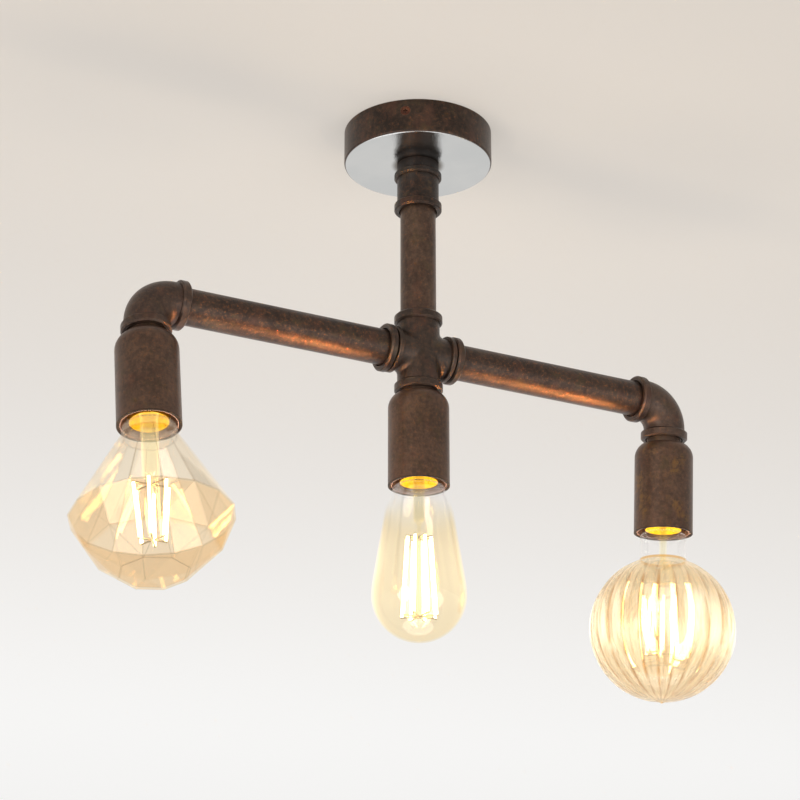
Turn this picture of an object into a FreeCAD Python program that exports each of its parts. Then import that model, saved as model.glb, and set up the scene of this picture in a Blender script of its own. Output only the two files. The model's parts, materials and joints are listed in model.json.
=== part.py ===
import FreeCAD, Part
import math
import os

# Three-light ceiling light of beaded pipe fittings, in millimetres.
# The ceiling is the plane z = 0, the arms run along X, and the light hangs towards -Z.
# Outlines are (radius, depth) points, where depth is measured downwards.

# Conduit and the plain fits that stand for its threads
tube_diameter = 25.0
tube_wall = 1.6
thread_reach = 12.0
thread_clearance = 0.06
mouth_diameter = 27.0
mouth_depth = 2.5

# Cast fittings
fitting_diameter = 29.5
branch_diameter = 28.0
bead_diameter = 33.5
bead_width = 6.2
bead_edge = 1.0
ring_bead_diameter = 32.6
ring_bead_width = 3.2
ring_bead_gap = 1.0
ring_bead_end_width = 5.2
crotch_fillet = 4.0
cross_depth = 171.0
cross_reach = 28.5
arm_spacing = 202.5
elbow_reach = 27.0
elbow_bend = 19.0

# Lean of the end elbows on their threads, in degrees: positive swings the lamp towards +Y, and zero
# hangs it plumb
left_elbow_lean = -10.0
right_elbow_lean = 5.0

# Canopy and the coupling under it
canopy_diameter = 105.0
canopy_height = 25.0
canopy_wall = 1.5
canopy_corner = 1.8
tightest_bend = 0.2
coupling_length = 37.0
coupling_neck = 7.0
upper_bead_width = 4.8

# Nipple, washer and locknut that clamp the coupling to the canopy
nipple_wall = 2.0
nipple_stand_out = 1.5
washer_diameter = 36.0
washer_thickness = 1.5
locknut_flats = 32.0
locknut_height = 4.0
canopy_hole_clearance = 0.3

# Ceiling bracket, turned about Z so that its screws face the room
bracket_angle = 52.4
bracket_width = 20.0
bracket_thickness = 2.0
bracket_bend = 3.0
bracket_tab = 15.0
bracket_to_canopy = 0.3
cable_entry_diameter = 12.0
ceiling_screw_spacing = 70.0
ceiling_hole_diameter = 5.2

# Screws in the bracket
side_screw_depth = 8.6
side_screw_diameter = 4.0
side_screw_head = 7.4
side_screw_length = 10.0
earth_screw_offset = 20.0
earth_screw_diameter = 4.0
earth_screw_head = 8.0
earth_screw_head_height = 2.6
screw_clearance = 0.05
ceiling_gap = 0.2

# Terminal block under the bracket
block_offset = 20.0
block_length = 16.0
block_width = 30.0
block_height = 12.0
block_way_pitch = 4.0
block_way_diameter = 2.6
block_way_depth = 6.0
block_screw_diameter = 3.0
block_screw_head = 5.6
block_screw_head_height = 2.4

# Lampholder cup
cup_diameter = 42.0
cup_wall = 1.5
cup_drop = 31.5
cup_length = 65.0
cup_shoulder_diameter = 33.6
cup_shoulder_height = 9.0

# Reducer bush above the cup, with the hollow spigot that carries the lampholder
bush_neck_diameter = 24.0
entry_diameter = 10.0
entry_bore = 7.0
entry_reach = 10.0
entry_clearance = 0.06
holder_nut_flats = 14.0
holder_nut_height = 3.0

# Lampholder inside the cup
holder_crown_diameter = 18.0
holder_crown_height = 8.0
holder_rim_height = 2.0
sleeve_diameter = 38.0
sleeve_wall = 0.8
sleeve_clearance = 0.1
sleeve_above_mouth = 0.5
chamber_diameter = 20.0
chamber_height = 11.0
partition_height = 6.8
shell_seat_depth = 14.2
shell_diameter = 27.9
shell_wall = 0.6
shell_length = 26.0
shell_flange_bore = 18.0
shell_clearance = 0.05
contact_width = 6.0
contact_thickness = 0.5
contact_foot = 4.5
contact_reach = 7.5
contact_drop = 0.9

# Screw cap shared by the three bulbs
cap_diameter = 26.0
cap_wall = 0.4
cap_length = 27.0
cap_above_mouth = 2.5
cap_cone_height = 2.9
cap_lip_diameter = 20.2
cap_lip_depth = 4.1
insulator_top_diameter = 15.0
insulator_foot = 1.5
insulator_clearance = 0.05
eyelet_diameter = 9.0
eyelet_height = 1.1
eyelet_shank_diameter = 4.0
eyelet_shank_length = 3.4

# Glass shared by the three bulbs
glass_wall = 1.0
glass_tail_diameter = 25.0
glass_tail_reach = 12.5
neck_flare_depth = 3.3
neck_flare_start = 0.3

# Glass stem, filaments and support wires
stem_flare_clearance = 0.1
stem_flare_height = 11.0
stem_wall = 0.9
stem_rod_diameter = 2.4
stem_pinch_height = 4.0
filament_diameter = 2.0
support_wire_diameter = 0.8
support_wire_gap = 0.05

# Faceted diamond bulb, on the left
diamond_neck_diameter = 36.0
diamond_neck_depth = 11.0
diamond_crown_depth = 7.4
diamond_turn = 29.5
diamond_mains = 8
diamond_girdle_diameter = 105.0
diamond_girdle_depth = 65.5
diamond_pavilion_diameter = 86.0
diamond_pavilion_depth = 87.5
diamond_table_diameter = 46.0
diamond_table_depth = 105.0
diamond_stem_diameter = 11.2
diamond_stem_depth = 36.0
diamond_filaments = 6
diamond_filament_top = 43.0
diamond_filament_bottom = 81.0
diamond_filament_spread_top = 24.0
diamond_filament_spread_bottom = 17.4

# Pear bulb, in the middle
pear_neck_diameter = 36.4
pear_shoulder_diameter = 46.8
pear_shoulder_depth = 20.0
pear_shoulder_bow = 0.7
pear_diameter = 63.4
pear_side_radius = 68.0
pear_lower_radius = 24.0
pear_belt_height = 31.0
pear_length = 108.5
pear_pip_diameter = 3.0
pear_pip_height = 0.6
pear_stem_diameter = 8.0
pear_stem_depth = 24.0
pear_filaments = 8
pear_filament_top = 37.0
pear_filament_bottom = 91.0
pear_filament_spread_top = 17.0
pear_filament_spread_bottom = 24.0

# Ribbed globe bulb, on the right
globe_neck_diameter = 33.0
globe_diameter = 103.0
globe_centre_depth = 69.5
globe_ribs = 24
globe_rib_radius = 12.0
globe_dimple_diameter = 8.0
globe_dimple_depth = 0.6
globe_pip_diameter = 4.0
globe_stem_diameter = 5.2
globe_stem_depth = 40.0
globe_filaments = 6
globe_filament_top = 47.0
globe_filament_bottom = 87.0
globe_filament_spread_top = 20.0
globe_filament_spread_bottom = 25.0

# Leads, two wires to each lampholder
lead_diameter = 2.2
lead_half_gap = 1.5
lead_stem_offset = 4.5
lead_fan_out = 12.0
lead_bend = 6.0
lead_into_nipple = 5.5
lead_cross_bend = 20.0
lead_elbow_bend = 22.0
lead_spread = 6.0
lead_spread_start = 1.0
lead_spread_end = 8.0
lead_terminal_depth = 4.0
lead_clearance = 0.05

# How far a cutting tool runs past the face that it opens
overshoot = 1.0

V = FreeCAD.Vector
tube_radius = tube_diameter / 2
tube_bore_radius = tube_radius - tube_wall
port_radius = tube_radius + thread_clearance
cup_mouth_depth = cup_drop + cup_length


# Outline helpers
def polar(centre, radius, degrees):
    """Point of an outline, at an angle from the outward direction, positive downwards."""
    angle = math.radians(degrees)
    return (centre[0] + radius * math.cos(angle), centre[1] + radius * math.sin(angle))


def arc(centre, radius, start, end):
    """Arc step of an outline: its middle and end. The outline is already at its start."""
    return (polar(centre, radius, (start + end) / 2), polar(centre, radius, end))


def outline(start, steps):
    """Closed face in the XZ plane, of straight steps and arc steps."""
    edges = []
    here = start
    for step in list(steps) + [start]:
        is_arc = isinstance(step[0], tuple)
        end = step[1] if is_arc else step
        first, last = V(here[0], 0, -here[1]), V(end[0], 0, -end[1])
        if is_arc:
            middle = V(step[0][0], 0, -step[0][1])
            edges.append(Part.Arc(first, middle, last).toShape())
        elif not first.isEqual(last, 1e-6):
            edges.append(Part.makeLine(first, last))
        here = end
    return Part.Face(Part.Wire(edges))


def turned(start, *steps):
    """Solid turned about the Z axis from an outline."""
    return outline(start, steps).revolve(V(0, 0, 0), V(0, 0, 1), 360)


def ring(outer_radius, inner_radius, top, bottom):
    """Plain ring or, with no inner radius, a disc."""
    return turned((inner_radius, top), (outer_radius, top), (outer_radius, bottom), (inner_radius, bottom))


def placed(shape, x=0.0, depth=0.0):
    """Copy of a shape, moved along X and down."""
    return shape.translated(V(x, 0, -depth))


def lean(side):
    """Lean of the fitting at the left (-1), in the middle (0) or at the right (1)."""
    return {-1: left_elbow_lean, 0: 0.0, 1: right_elbow_lean}[side]


def hung(shape, side):
    """Copy of a shape drawn round a lamp's own axis, hung from its fitting at that fitting's lean."""
    return placed(shape.rotated(V(0, 0, 0), V(1, 0, 0), lean(side)), arm_spacing * side, cross_depth)


def at_fitting(point, side):
    """The same move for one point."""
    leant = FreeCAD.Rotation(V(1, 0, 0), lean(side)).multVec(point)
    return leant + V(arm_spacing * side, 0, -cross_depth)


def aimed(shape, degrees):
    """Copy of a downward shape, turned about Y: 90 aims it at -X, 180 up and 270 at +X."""
    return shape.rotated(V(0, 0, 0), V(0, 1, 0), degrees)


def across_bracket(shape):
    """Copy of a shape drawn along X, turned about Z to lie along the bracket."""
    return shape.rotated(V(0, 0, 0), V(0, 0, 1), bracket_angle)


def mirrored(shape):
    """Copy of a shape on the other side of the YZ plane."""
    return shape.mirror(V(0, 0, 0), V(1, 0, 0))


def hexagon(flats, bore_radius, top, bottom):
    """Hexagonal nut with chamfered corners."""
    corner = flats / math.sqrt(3)
    points = [V(*polar((0, 0), corner, 60 * side), -bottom) for side in range(7)]
    prism = Part.Face(Part.makePolygon(points)).extrude(V(0, 0, bottom - top))
    half = flats / 2
    slope = corner - half
    rounded = turned((0, top), (half, top), (corner, top + slope / 2), (corner, bottom - slope / 2),
                     (half, bottom), (0, bottom))
    return prism.common(rounded).cut(ring(bore_radius, 0, top - overshoot, bottom + overshoot))


# Cast fittings
def bead_outline(reach, width):
    """Steps of a plain bead that ends at a port's face."""
    body = bead_diameter / 2
    return [(body - bead_edge, reach - width), (body, reach - width + bead_edge),
            (body, reach - bead_edge), (body - bead_edge, reach)]


def ringed_bead_outline(reach, width, body_radius):
    """Steps of a bead with a narrower ring behind it."""
    ring_radius = ring_bead_diameter / 2
    ring_end = reach - width - ring_bead_gap
    ring_start = ring_end - ring_bead_width
    edge = bead_edge / 2
    return [(ring_radius - edge, ring_start), (ring_radius, ring_start + edge),
            (ring_radius, ring_end - edge), (ring_radius - edge, ring_end),
            (body_radius, ring_end), (body_radius, reach - width)] + bead_outline(reach, width)


def port_stub(body_radius, reach, start, bead):
    """Outside of one port, pointing down, from its start to its face."""
    return turned((0, start), (body_radius, start), (body_radius, bead[0][1]), *bead, (0, reach))


def port_bore(reach, start):
    """Inside of one port: waterway, thread and the wider mouth round the tube."""
    thread_end = reach - thread_reach
    mouth = mouth_diameter / 2
    return turned((0, start), (tube_bore_radius, start), (tube_bore_radius, thread_end),
                  (port_radius, thread_end), (port_radius, reach - mouth_depth),
                  (mouth, reach - mouth_depth), (mouth, reach + overshoot), (0, reach + overshoot))


def make_coupling():
    body = fitting_diameter / 2
    top, bottom = canopy_height, canopy_height + coupling_length
    bead_top = top + coupling_neck
    bead_bottom = bead_top + upper_bead_width
    bead = bead_diameter / 2
    outside = turned((0, top), (body, top), (body, bead_top), (bead - bead_edge, bead_top),
                     (bead, bead_top + bead_edge), (bead, bead_bottom - bead_edge),
                     (bead - bead_edge, bead_bottom), (body, bead_bottom),
                     (body, bottom - bead_width), *bead_outline(bottom, bead_width), (0, bottom))
    upper_thread = ring(port_radius, 0, top - overshoot, top + thread_reach)
    middle = ring(tube_bore_radius, 0, top, bottom)
    lower_thread = ring(port_radius, 0, bottom - thread_reach, bottom + overshoot)
    mouth = ring(mouth_diameter / 2, 0, bottom - mouth_depth, bottom + overshoot)
    return outside.cut(upper_thread).cut(middle).cut(lower_thread).cut(mouth)


def bead_ring(body_radius, bead):
    """Bead alone, pointing down, rooted in the wall that it goes round."""
    root = body_radius - bead_edge
    return turned((root, bead[0][1]), *bead, (root, bead[-1][1]))


def make_cross():
    upright = fitting_diameter / 2
    branch = branch_diameter / 2
    plain = bead_outline(cross_reach, bead_width)
    ringed = ringed_bead_outline(cross_reach, ring_bead_end_width, branch)
    trunk = Part.makeCylinder(upright, 2 * cross_reach, V(0, 0, -cross_reach), V(0, 0, 1))
    arms = Part.makeCylinder(branch, 2 * cross_reach, V(-cross_reach, 0, 0), V(1, 0, 0))
    body = trunk.fuse(arms).removeSplitter()
    crotch = []
    for edge in body.Edges:
        box = edge.BoundBox
        inside = max(abs(box.XMin), abs(box.XMax), abs(box.ZMin), abs(box.ZMax)) < cross_reach - bead_edge
        if inside and not isinstance(edge.Curve, Part.Line):
            crotch.append(edge)
    body = body.makeFillet(crotch_fillet, crotch)
    ports = ((0, upright, plain), (180, upright, plain), (90, branch, ringed), (270, branch, ringed))
    for degrees, radius, bead in ports:
        body = body.fuse(aimed(bead_ring(radius, bead), degrees))
    for degrees in (0, 90, 180, 270):
        body = body.cut(aimed(port_bore(cross_reach, 0), degrees))
    return placed(body, 0, cross_depth)


def quarter_bend(radius):
    """Quarter of a torus between the leg towards -X and the leg that points down."""
    circle = Part.makeCircle(radius, V(-elbow_bend, 0, 0), V(1, 0, 0))
    face = Part.Face(Part.Wire(circle))
    return face.revolve(V(-elbow_bend, 0, -elbow_bend), V(0, 1, 0), 90)


def make_right_elbow():
    body = fitting_diameter / 2
    bead = bead_outline(elbow_reach, bead_width)
    outside = quarter_bend(body)
    bore = quarter_bend(tube_bore_radius)
    for degrees in (0, 90):
        outside = outside.fuse(aimed(port_stub(body, elbow_reach, elbow_bend, bead), degrees))
        bore = bore.fuse(aimed(port_bore(elbow_reach, elbow_bend - 2 * thread_reach / 3), degrees))
    return outside.cut(bore)


# Canopy group
def bracket_reach():
    """Distance of the tabs' outer faces from the axis, where their corners clear the canopy."""
    inside = canopy_diameter / 2 - canopy_wall - bracket_to_canopy
    return math.sqrt(inside ** 2 - (bracket_width / 2) ** 2)


def make_canopy():
    outer = canopy_diameter / 2
    inner = outer - canopy_wall
    floor = canopy_height - canopy_wall
    corner = canopy_corner
    inner_corner = max(corner - canopy_wall, tightest_bend)
    hole = tube_radius + canopy_hole_clearance
    shell = turned((inner, 0), (outer, 0), (outer, canopy_height - corner),
                   arc((outer - corner, canopy_height - corner), corner, 0, 90),
                   (hole, canopy_height), (hole, floor), (inner - inner_corner, floor),
                   arc((inner - inner_corner, floor - inner_corner), inner_corner, 90, 0))
    head = side_screw_head / 2 + screw_clearance
    hole_edge = head - canopy_wall
    dimple = turned((0, outer + overshoot), (head, outer + overshoot), (head, outer),
                    (hole_edge, inner), (hole_edge, inner - overshoot), (0, inner - overshoot))
    for degrees in (90, 270):
        shell = shell.cut(across_bracket(placed(aimed(dimple, degrees), 0, side_screw_depth)))
    return shell


def make_bracket():
    reach = bracket_reach()
    inner_bend = bracket_bend - bracket_thickness
    flat = reach - bracket_bend
    thick = bracket_thickness
    strip = outline((-reach, bracket_tab), [
        (-reach, bracket_bend),
        arc((-flat, bracket_bend), bracket_bend, 180, 270),
        (flat, 0),
        arc((flat, bracket_bend), bracket_bend, 270, 360),
        (reach, bracket_tab),
        (reach - thick, bracket_tab),
        (reach - thick, bracket_bend),
        arc((flat, bracket_bend), inner_bend, 360, 270),
        (-flat, thick),
        arc((-flat, bracket_bend), inner_bend, 270, 180),
        (-reach + thick, bracket_tab)])
    strip = strip.extrude(V(0, bracket_width, 0))
    strip.translate(V(0, -bracket_width / 2, 0))
    holes = [(0, cable_entry_diameter), (-ceiling_screw_spacing / 2, ceiling_hole_diameter),
             (ceiling_screw_spacing / 2, ceiling_hole_diameter),
             (-earth_screw_offset, earth_screw_diameter + 2 * screw_clearance),
             (block_offset, block_screw_diameter + 2 * screw_clearance)]
    for x, diameter in holes:
        strip = strip.cut(placed(ring(diameter / 2, 0, -overshoot, thick + overshoot), x))
    tapped = ring(side_screw_diameter / 2 + screw_clearance, 0, -reach - overshoot, reach + overshoot)
    strip = strip.cut(placed(aimed(tapped, 90), 0, side_screw_depth))
    return across_bracket(strip)


def make_side_screws():
    """Two countersunk screws, flush with the canopy's wall."""
    face = canopy_diameter / 2 - screw_clearance
    head = side_screw_head / 2 - screw_clearance
    shank = side_screw_diameter / 2
    screw = turned((0, face), (head, face), (shank, face - head + shank),
                   (shank, face - side_screw_length), (0, face - side_screw_length))
    pair = []
    for degrees in (90, 270):
        pair.append(across_bracket(placed(aimed(screw, degrees), 0, side_screw_depth)))
    return Part.makeCompound(pair)


def make_earth_screw():
    head = earth_screw_head / 2
    top = bracket_thickness
    shank = earth_screw_diameter / 2
    bottom = top + earth_screw_head_height
    edge = earth_screw_head_height / 3
    screw = turned((0, ceiling_gap), (shank, ceiling_gap), (shank, top), (head, top),
                   (head, bottom - edge), (head - edge, bottom), (0, bottom))
    return across_bracket(placed(screw, -earth_screw_offset))


def way_offsets():
    """Places of the six ways across the terminal block, three each side of its screw."""
    return [block_way_pitch * side * step for side in (-1, 1) for step in (1, 2, 3)]


def make_terminal_block():
    top = bracket_thickness
    block = Part.makeBox(block_length, block_width, block_height,
                         V(block_offset - block_length / 2, -block_width / 2, -top - block_height))
    way = aimed(ring(block_way_diameter / 2, 0, -canopy_diameter, canopy_diameter), 90)
    for offset in way_offsets():
        block = block.cut(way.translated(V(0, offset, -top - block_way_depth)))
    bottom = top + block_height
    screw = ring(block_screw_diameter / 2 + screw_clearance, 0, top - overshoot, bottom + overshoot)
    head_top = bottom - block_screw_head_height
    head = ring(block_screw_head / 2 + screw_clearance, 0, head_top, bottom + overshoot)
    return across_bracket(block.cut(placed(screw.fuse(head), block_offset)))


def make_block_screw():
    shank = block_screw_diameter / 2
    head = block_screw_head / 2
    bottom = bracket_thickness + block_height
    head_top = bottom - block_screw_head_height
    edge = block_screw_head_height / 4
    screw = turned((0, ceiling_gap), (shank, ceiling_gap), (shank, head_top), (head, head_top),
                   (head, bottom - edge), (head - edge, bottom), (0, bottom))
    return across_bracket(placed(screw, block_offset))


canopy_floor = canopy_height - canopy_wall
washer_top = canopy_floor - washer_thickness
locknut_top = washer_top - locknut_height
nipple_top = locknut_top - nipple_stand_out


def make_nipple():
    return ring(tube_radius, tube_radius - nipple_wall, nipple_top, canopy_height + thread_reach)


def make_nipple_washer():
    return ring(washer_diameter / 2, tube_radius + canopy_hole_clearance, washer_top, canopy_floor)


def make_canopy_locknut():
    return hexagon(locknut_flats, port_radius, locknut_top, washer_top)


# Lampholder, drawn round its own axis with depths below the arm's axis
cup_inside_top = cup_drop + cup_wall
holder_nut_bottom = cup_inside_top + holder_nut_height
crown_bottom = holder_nut_bottom + holder_crown_height
rim_bottom = crown_bottom + holder_rim_height
chamber_top = holder_nut_bottom + entry_reach
chamber_bottom = chamber_top + chamber_height
shell_seat = chamber_bottom + partition_height
sleeve_bottom = cup_mouth_depth - sleeve_above_mouth
sleeve_inner_radius = sleeve_diameter / 2 - sleeve_wall


def make_bush(reach):
    """Plug in the fitting's lower port, the neck under it and the hollow spigot."""
    top = reach - thread_reach
    bore = entry_bore / 2
    neck = bush_neck_diameter / 2
    spigot = entry_diameter / 2
    return turned((bore, top), (tube_radius, top), (tube_radius, reach), (neck, reach), (neck, cup_drop),
                  (spigot, cup_drop), (spigot, chamber_top), (bore, chamber_top))


def cup_shoulder(radius, top):
    """Arc from the flat top's edge to the side wall, upright where it meets the wall."""
    flat = radius - (cup_diameter - cup_shoulder_diameter) / 2
    rise = cup_shoulder_height
    across = radius - flat
    arc_radius = (across ** 2 + rise ** 2) / (2 * across)
    centre = (radius - arc_radius, top + rise)
    start = -math.degrees(math.asin(rise / arc_radius))
    return centre, arc_radius, start


def make_cup():
    outer = cup_diameter / 2
    inner = outer - cup_wall
    hole = entry_diameter / 2 + canopy_hole_clearance
    centre, radius, start = cup_shoulder(outer, cup_drop)
    first = polar(centre, radius, start)
    inner_start = -math.degrees(math.asin((cup_shoulder_height - cup_wall) / (radius - cup_wall)))
    inner_first = polar(centre, radius - cup_wall, inner_start)
    return turned((hole, cup_drop), first, arc(centre, radius, start, 0), (outer, cup_mouth_depth),
                  (inner, cup_mouth_depth), (inner, cup_drop + cup_shoulder_height),
                  arc(centre, radius - cup_wall, 0, inner_start), (inner_first[0], cup_inside_top),
                  (hole, cup_inside_top))


def make_holder_nut():
    return hexagon(holder_nut_flats, entry_diameter / 2 + entry_clearance, cup_inside_top, holder_nut_bottom)


def make_holder_body():
    """Insulating body: crown, wire chamber and the seat of the screw shell."""
    outer = sleeve_diameter / 2
    core = sleeve_inner_radius - sleeve_clearance
    crown = holder_crown_diameter / 2
    seat = shell_diameter / 2 + shell_clearance
    seat_bottom = shell_seat + shell_seat_depth
    entry = entry_diameter / 2 + entry_clearance
    chamber = chamber_diameter / 2
    rise = holder_crown_height
    across = outer - crown
    halfway = math.sqrt(0.5)
    bow = (crown + across * halfway, crown_bottom - rise * halfway)
    body = turned((entry, holder_nut_bottom), (crown, holder_nut_bottom), (bow, (outer, crown_bottom)),
                  (outer, rim_bottom), (core, rim_bottom), (core, seat_bottom), (seat, seat_bottom),
                  (seat, shell_seat), (0, shell_seat), (0, chamber_bottom), (chamber, chamber_bottom),
                  (chamber, chamber_top), (entry, chamber_top))
    drill = lead_diameter / 2 + lead_clearance
    terminal = ring(drill, 0, chamber_bottom - overshoot, chamber_bottom + lead_terminal_depth)
    for side in (-1, 1):
        body = body.cut(terminal.translated(V(0, side * lead_spread, 0)))
    return body


def make_sleeve():
    return ring(sleeve_diameter / 2, sleeve_inner_radius, rim_bottom, sleeve_bottom)


def make_screw_shell():
    outer = shell_diameter / 2
    inner = outer - shell_wall
    flange = shell_flange_bore / 2
    floor = shell_seat + shell_wall
    rim = shell_seat + shell_length
    return turned((flange, shell_seat), (outer, shell_seat), (outer, rim), (inner, rim),
                  (inner, floor), (flange, floor))


def make_centre_contact():
    """Sprung tongue: a foot on the seat, then a slope to the tip over the bulb's eyelet."""
    thick = contact_thickness
    start = -contact_reach
    bend = start + contact_foot
    tip = contact_drop
    face = outline((start, shell_seat), [
        (bend, shell_seat), (0, shell_seat + tip), (contact_reach / 2, shell_seat + tip),
        (contact_reach / 2, shell_seat + tip + thick), (0, shell_seat + tip + thick),
        (bend, shell_seat + thick), (start, shell_seat + thick)])
    tongue = face.extrude(V(0, contact_width, 0))
    tongue.translate(V(0, -contact_width / 2, 0))
    return tongue


# Screw cap of a bulb
cap_rim = cup_mouth_depth - cap_above_mouth
eyelet_top = cap_rim - cap_length
insulator_top = eyelet_top + eyelet_height
cap_lip = eyelet_top + cap_lip_depth


def make_cap_contact():
    head = eyelet_diameter / 2
    shank = eyelet_shank_diameter / 2
    edge = eyelet_height / 2
    bottom = insulator_top + eyelet_shank_length
    return turned((0, eyelet_top), (head - edge, eyelet_top), (head, eyelet_top + edge),
                  (head, insulator_top), (shank, insulator_top), (shank, bottom), (0, bottom))


def make_cap_insulator():
    top = insulator_top_diameter / 2
    foot = cap_lip_diameter / 2 - insulator_clearance
    bore = eyelet_shank_diameter / 2 + insulator_clearance
    return turned((bore, insulator_top), (top, insulator_top), (foot, cap_lip),
                  (foot, cap_lip + insulator_foot), (bore, cap_lip + insulator_foot))


def make_cap():
    """Thin metal shell: lip round the insulator, cone and the plain wall that stands for the thread."""
    outer = cap_diameter / 2
    lip = cap_lip_diameter / 2
    cone = cap_lip + cap_cone_height
    wall = cap_wall
    return turned((lip, cap_lip), (lip + wall, cap_lip), (outer, cone), (outer, cap_rim),
                  (outer - wall, cap_rim), (outer - wall, cone + wall), (lip, cap_lip + wall * 2))


# Glass of a bulb
tail_top = cap_rim - glass_tail_reach


def neck_steps(neck_radius, inset):
    """Tail in the cap and the ogee that widens it to the neck."""
    tail = glass_tail_diameter / 2 - inset
    neck = neck_radius - inset
    start = cap_rim + neck_flare_start
    end = cup_mouth_depth + neck_flare_depth
    across, drop = neck - tail, end - start
    radius = (across ** 2 + drop ** 2) / (4 * across)
    sweep = math.degrees(math.asin(drop / 2 / radius))
    return [(tail, start), arc((tail + radius, start), radius, 180, 180 - sweep),
            arc((neck - radius, end), radius, -sweep, 0)]


def glass_blank(neck_radius, steps, inset):
    """Outside of a bulb's glass or, inset by its wall, the hollow inside it."""
    top = tail_top - inset
    tail = glass_tail_diameter / 2 - inset
    return turned((0, top), (tail, top), *neck_steps(neck_radius, inset), *steps)


def pear_steps(inset):
    """Bowed shoulder, cone tangent to the wide belt, the belt and the rounded bottom."""
    mouth = cup_mouth_depth
    wide = pear_diameter / 2 - inset
    side = pear_side_radius - inset
    lower = pear_lower_radius - inset
    belt = mouth + pear_length - pear_belt_height
    bottom = mouth + pear_length - inset
    neck = (pear_neck_diameter / 2 - inset, mouth + neck_flare_depth)
    shoulder = (pear_shoulder_diameter / 2 - inset, mouth + pear_shoulder_depth)
    middle = ((neck[0] + shoulder[0]) / 2 + pear_shoulder_bow, (neck[1] + shoulder[1]) / 2)
    centre = (wide - side, belt)
    away = math.hypot(shoulder[0] - centre[0], shoulder[1] - centre[1])
    bearing = math.degrees(math.atan2(shoulder[1] - centre[1], shoulder[0] - centre[0]))
    touch = bearing + math.degrees(math.acos(side / away))
    height = bottom - belt
    offset = wide - lower
    base = (height ** 2 + offset ** 2 - lower ** 2) / (2 * (height - lower))
    base_centre = (0, bottom - base)
    join = math.degrees(math.atan2(belt - base_centre[1], offset))
    pip = pear_pip_diameter / 2
    tip = 90 - math.degrees(math.asin(pip / base)) if not inset else 90
    steps = [(middle, shoulder), polar(centre, side, touch), arc(centre, side, touch, 0),
             arc((offset, belt), lower, 0, join), arc(base_centre, base, join, tip)]
    if not inset:
        steps.append((0, bottom + pear_pip_height))
    return steps


def make_pear_glass():
    neck = pear_neck_diameter / 2
    outside = glass_blank(neck, pear_steps(0), 0)
    return outside.cut(glass_blank(neck, pear_steps(glass_wall), glass_wall))


def corner_ring(diameter, depth, corners, turn, inset):
    """Corners of one level of the diamond, as (angle, point) pairs in order."""
    radius = diameter / 2 - inset / math.cos(math.pi / corners)
    found = []
    for index in range(corners):
        degrees = (turn + 360 * index / corners) % 360
        found.append((degrees, V(*polar((0, 0), radius, degrees), -depth)))
    return sorted(found, key=lambda corner: corner[0])


def facets_between(upper, lower):
    """Triangles that join two levels, taken in order round the axis."""
    triangles = []
    above, below = 0, 0
    while above < len(upper) or below < len(lower):
        next_above = upper[(above + 1) % len(upper)][0] + 360 * ((above + 1) // len(upper))
        next_below = lower[(below + 1) % len(lower)][0] + 360 * ((below + 1) // len(lower))
        high, low = upper[above % len(upper)][1], lower[below % len(lower)][1]
        if below >= len(lower) or (above < len(upper) and next_above < next_below - 0.001):
            above += 1
            third = upper[above % len(upper)][1]
        else:
            below += 1
            third = lower[below % len(lower)][1]
        triangles.append((high, low, third))
    return triangles


def faceted_gem(inset):
    """Closed gem below the round neck: crown, girdle, pavilion and table."""
    mouth = cup_mouth_depth
    mains = diamond_mains
    step = 180 / mains
    levels = [
        corner_ring(diamond_neck_diameter, mouth + diamond_crown_depth, 2 * mains, diamond_turn, inset),
        corner_ring(diamond_girdle_diameter, mouth + diamond_girdle_depth, 2 * mains, diamond_turn, inset),
        corner_ring(diamond_pavilion_diameter, mouth + diamond_pavilion_depth - inset / 2, mains,
                    diamond_turn, inset),
        corner_ring(diamond_table_diameter, mouth + diamond_table_depth - inset, mains,
                    diamond_turn + step, inset)]
    faces = []
    for upper, lower in zip(levels, levels[1:]):
        for high, low, third in facets_between(upper, lower):
            faces.append(Part.Face(Part.makePolygon([high, low, third, high])))
    for level in (levels[0], levels[-1]):
        corners = [point for degrees, point in level]
        faces.append(Part.Face(Part.makePolygon(corners + corners[:1])))
    solid = Part.makeSolid(Part.makeShell(faces))
    if solid.Volume < 0:
        solid.reverse()
    return solid.removeSplitter()


def make_diamond_glass():
    neck = diamond_neck_diameter / 2
    mouth = cup_mouth_depth
    outside = glass_blank(neck, [(neck, mouth + diamond_neck_depth), (0, mouth + diamond_neck_depth)], 0)
    hollow = glass_blank(neck, [(neck - glass_wall, mouth + diamond_neck_depth + glass_wall),
                                (0, mouth + diamond_neck_depth + glass_wall)], glass_wall)
    return outside.fuse(faceted_gem(0)).cut(hollow.fuse(faceted_gem(glass_wall)))


def globe_gore():
    """One rib: the rounded rim of a wheel that stands on the axis, kept inside its own sector."""
    outer = globe_diameter / 2
    side = outer * math.tan(math.pi / globe_ribs)
    half_width = side + glass_wall
    hub = outer - globe_rib_radius
    edge = hub + math.sqrt(globe_rib_radius ** 2 - half_width ** 2)
    rim = Part.Arc(V(edge, -half_width, 0), V(outer, 0, 0), V(edge, half_width, 0)).toShape()
    rest = Part.makePolygon([V(edge, half_width, 0), V(0, half_width, 0), V(0, -half_width, 0),
                             V(edge, -half_width, 0)])
    wheel = Part.Face(Part.Wire([rim] + rest.Edges)).revolve(V(0, 0, 0), V(0, 1, 0), 360)
    wedge = Part.makePolygon([V(0, 0, -outer), V(outer, -side, -outer), V(outer, side, -outer),
                              V(0, 0, -outer)])
    sector = Part.Face(wedge).extrude(V(0, 0, globe_diameter))
    core = ring(globe_dimple_diameter / 2, 0, -outer, outer)
    return wheel.common(sector).cut(core)


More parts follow.
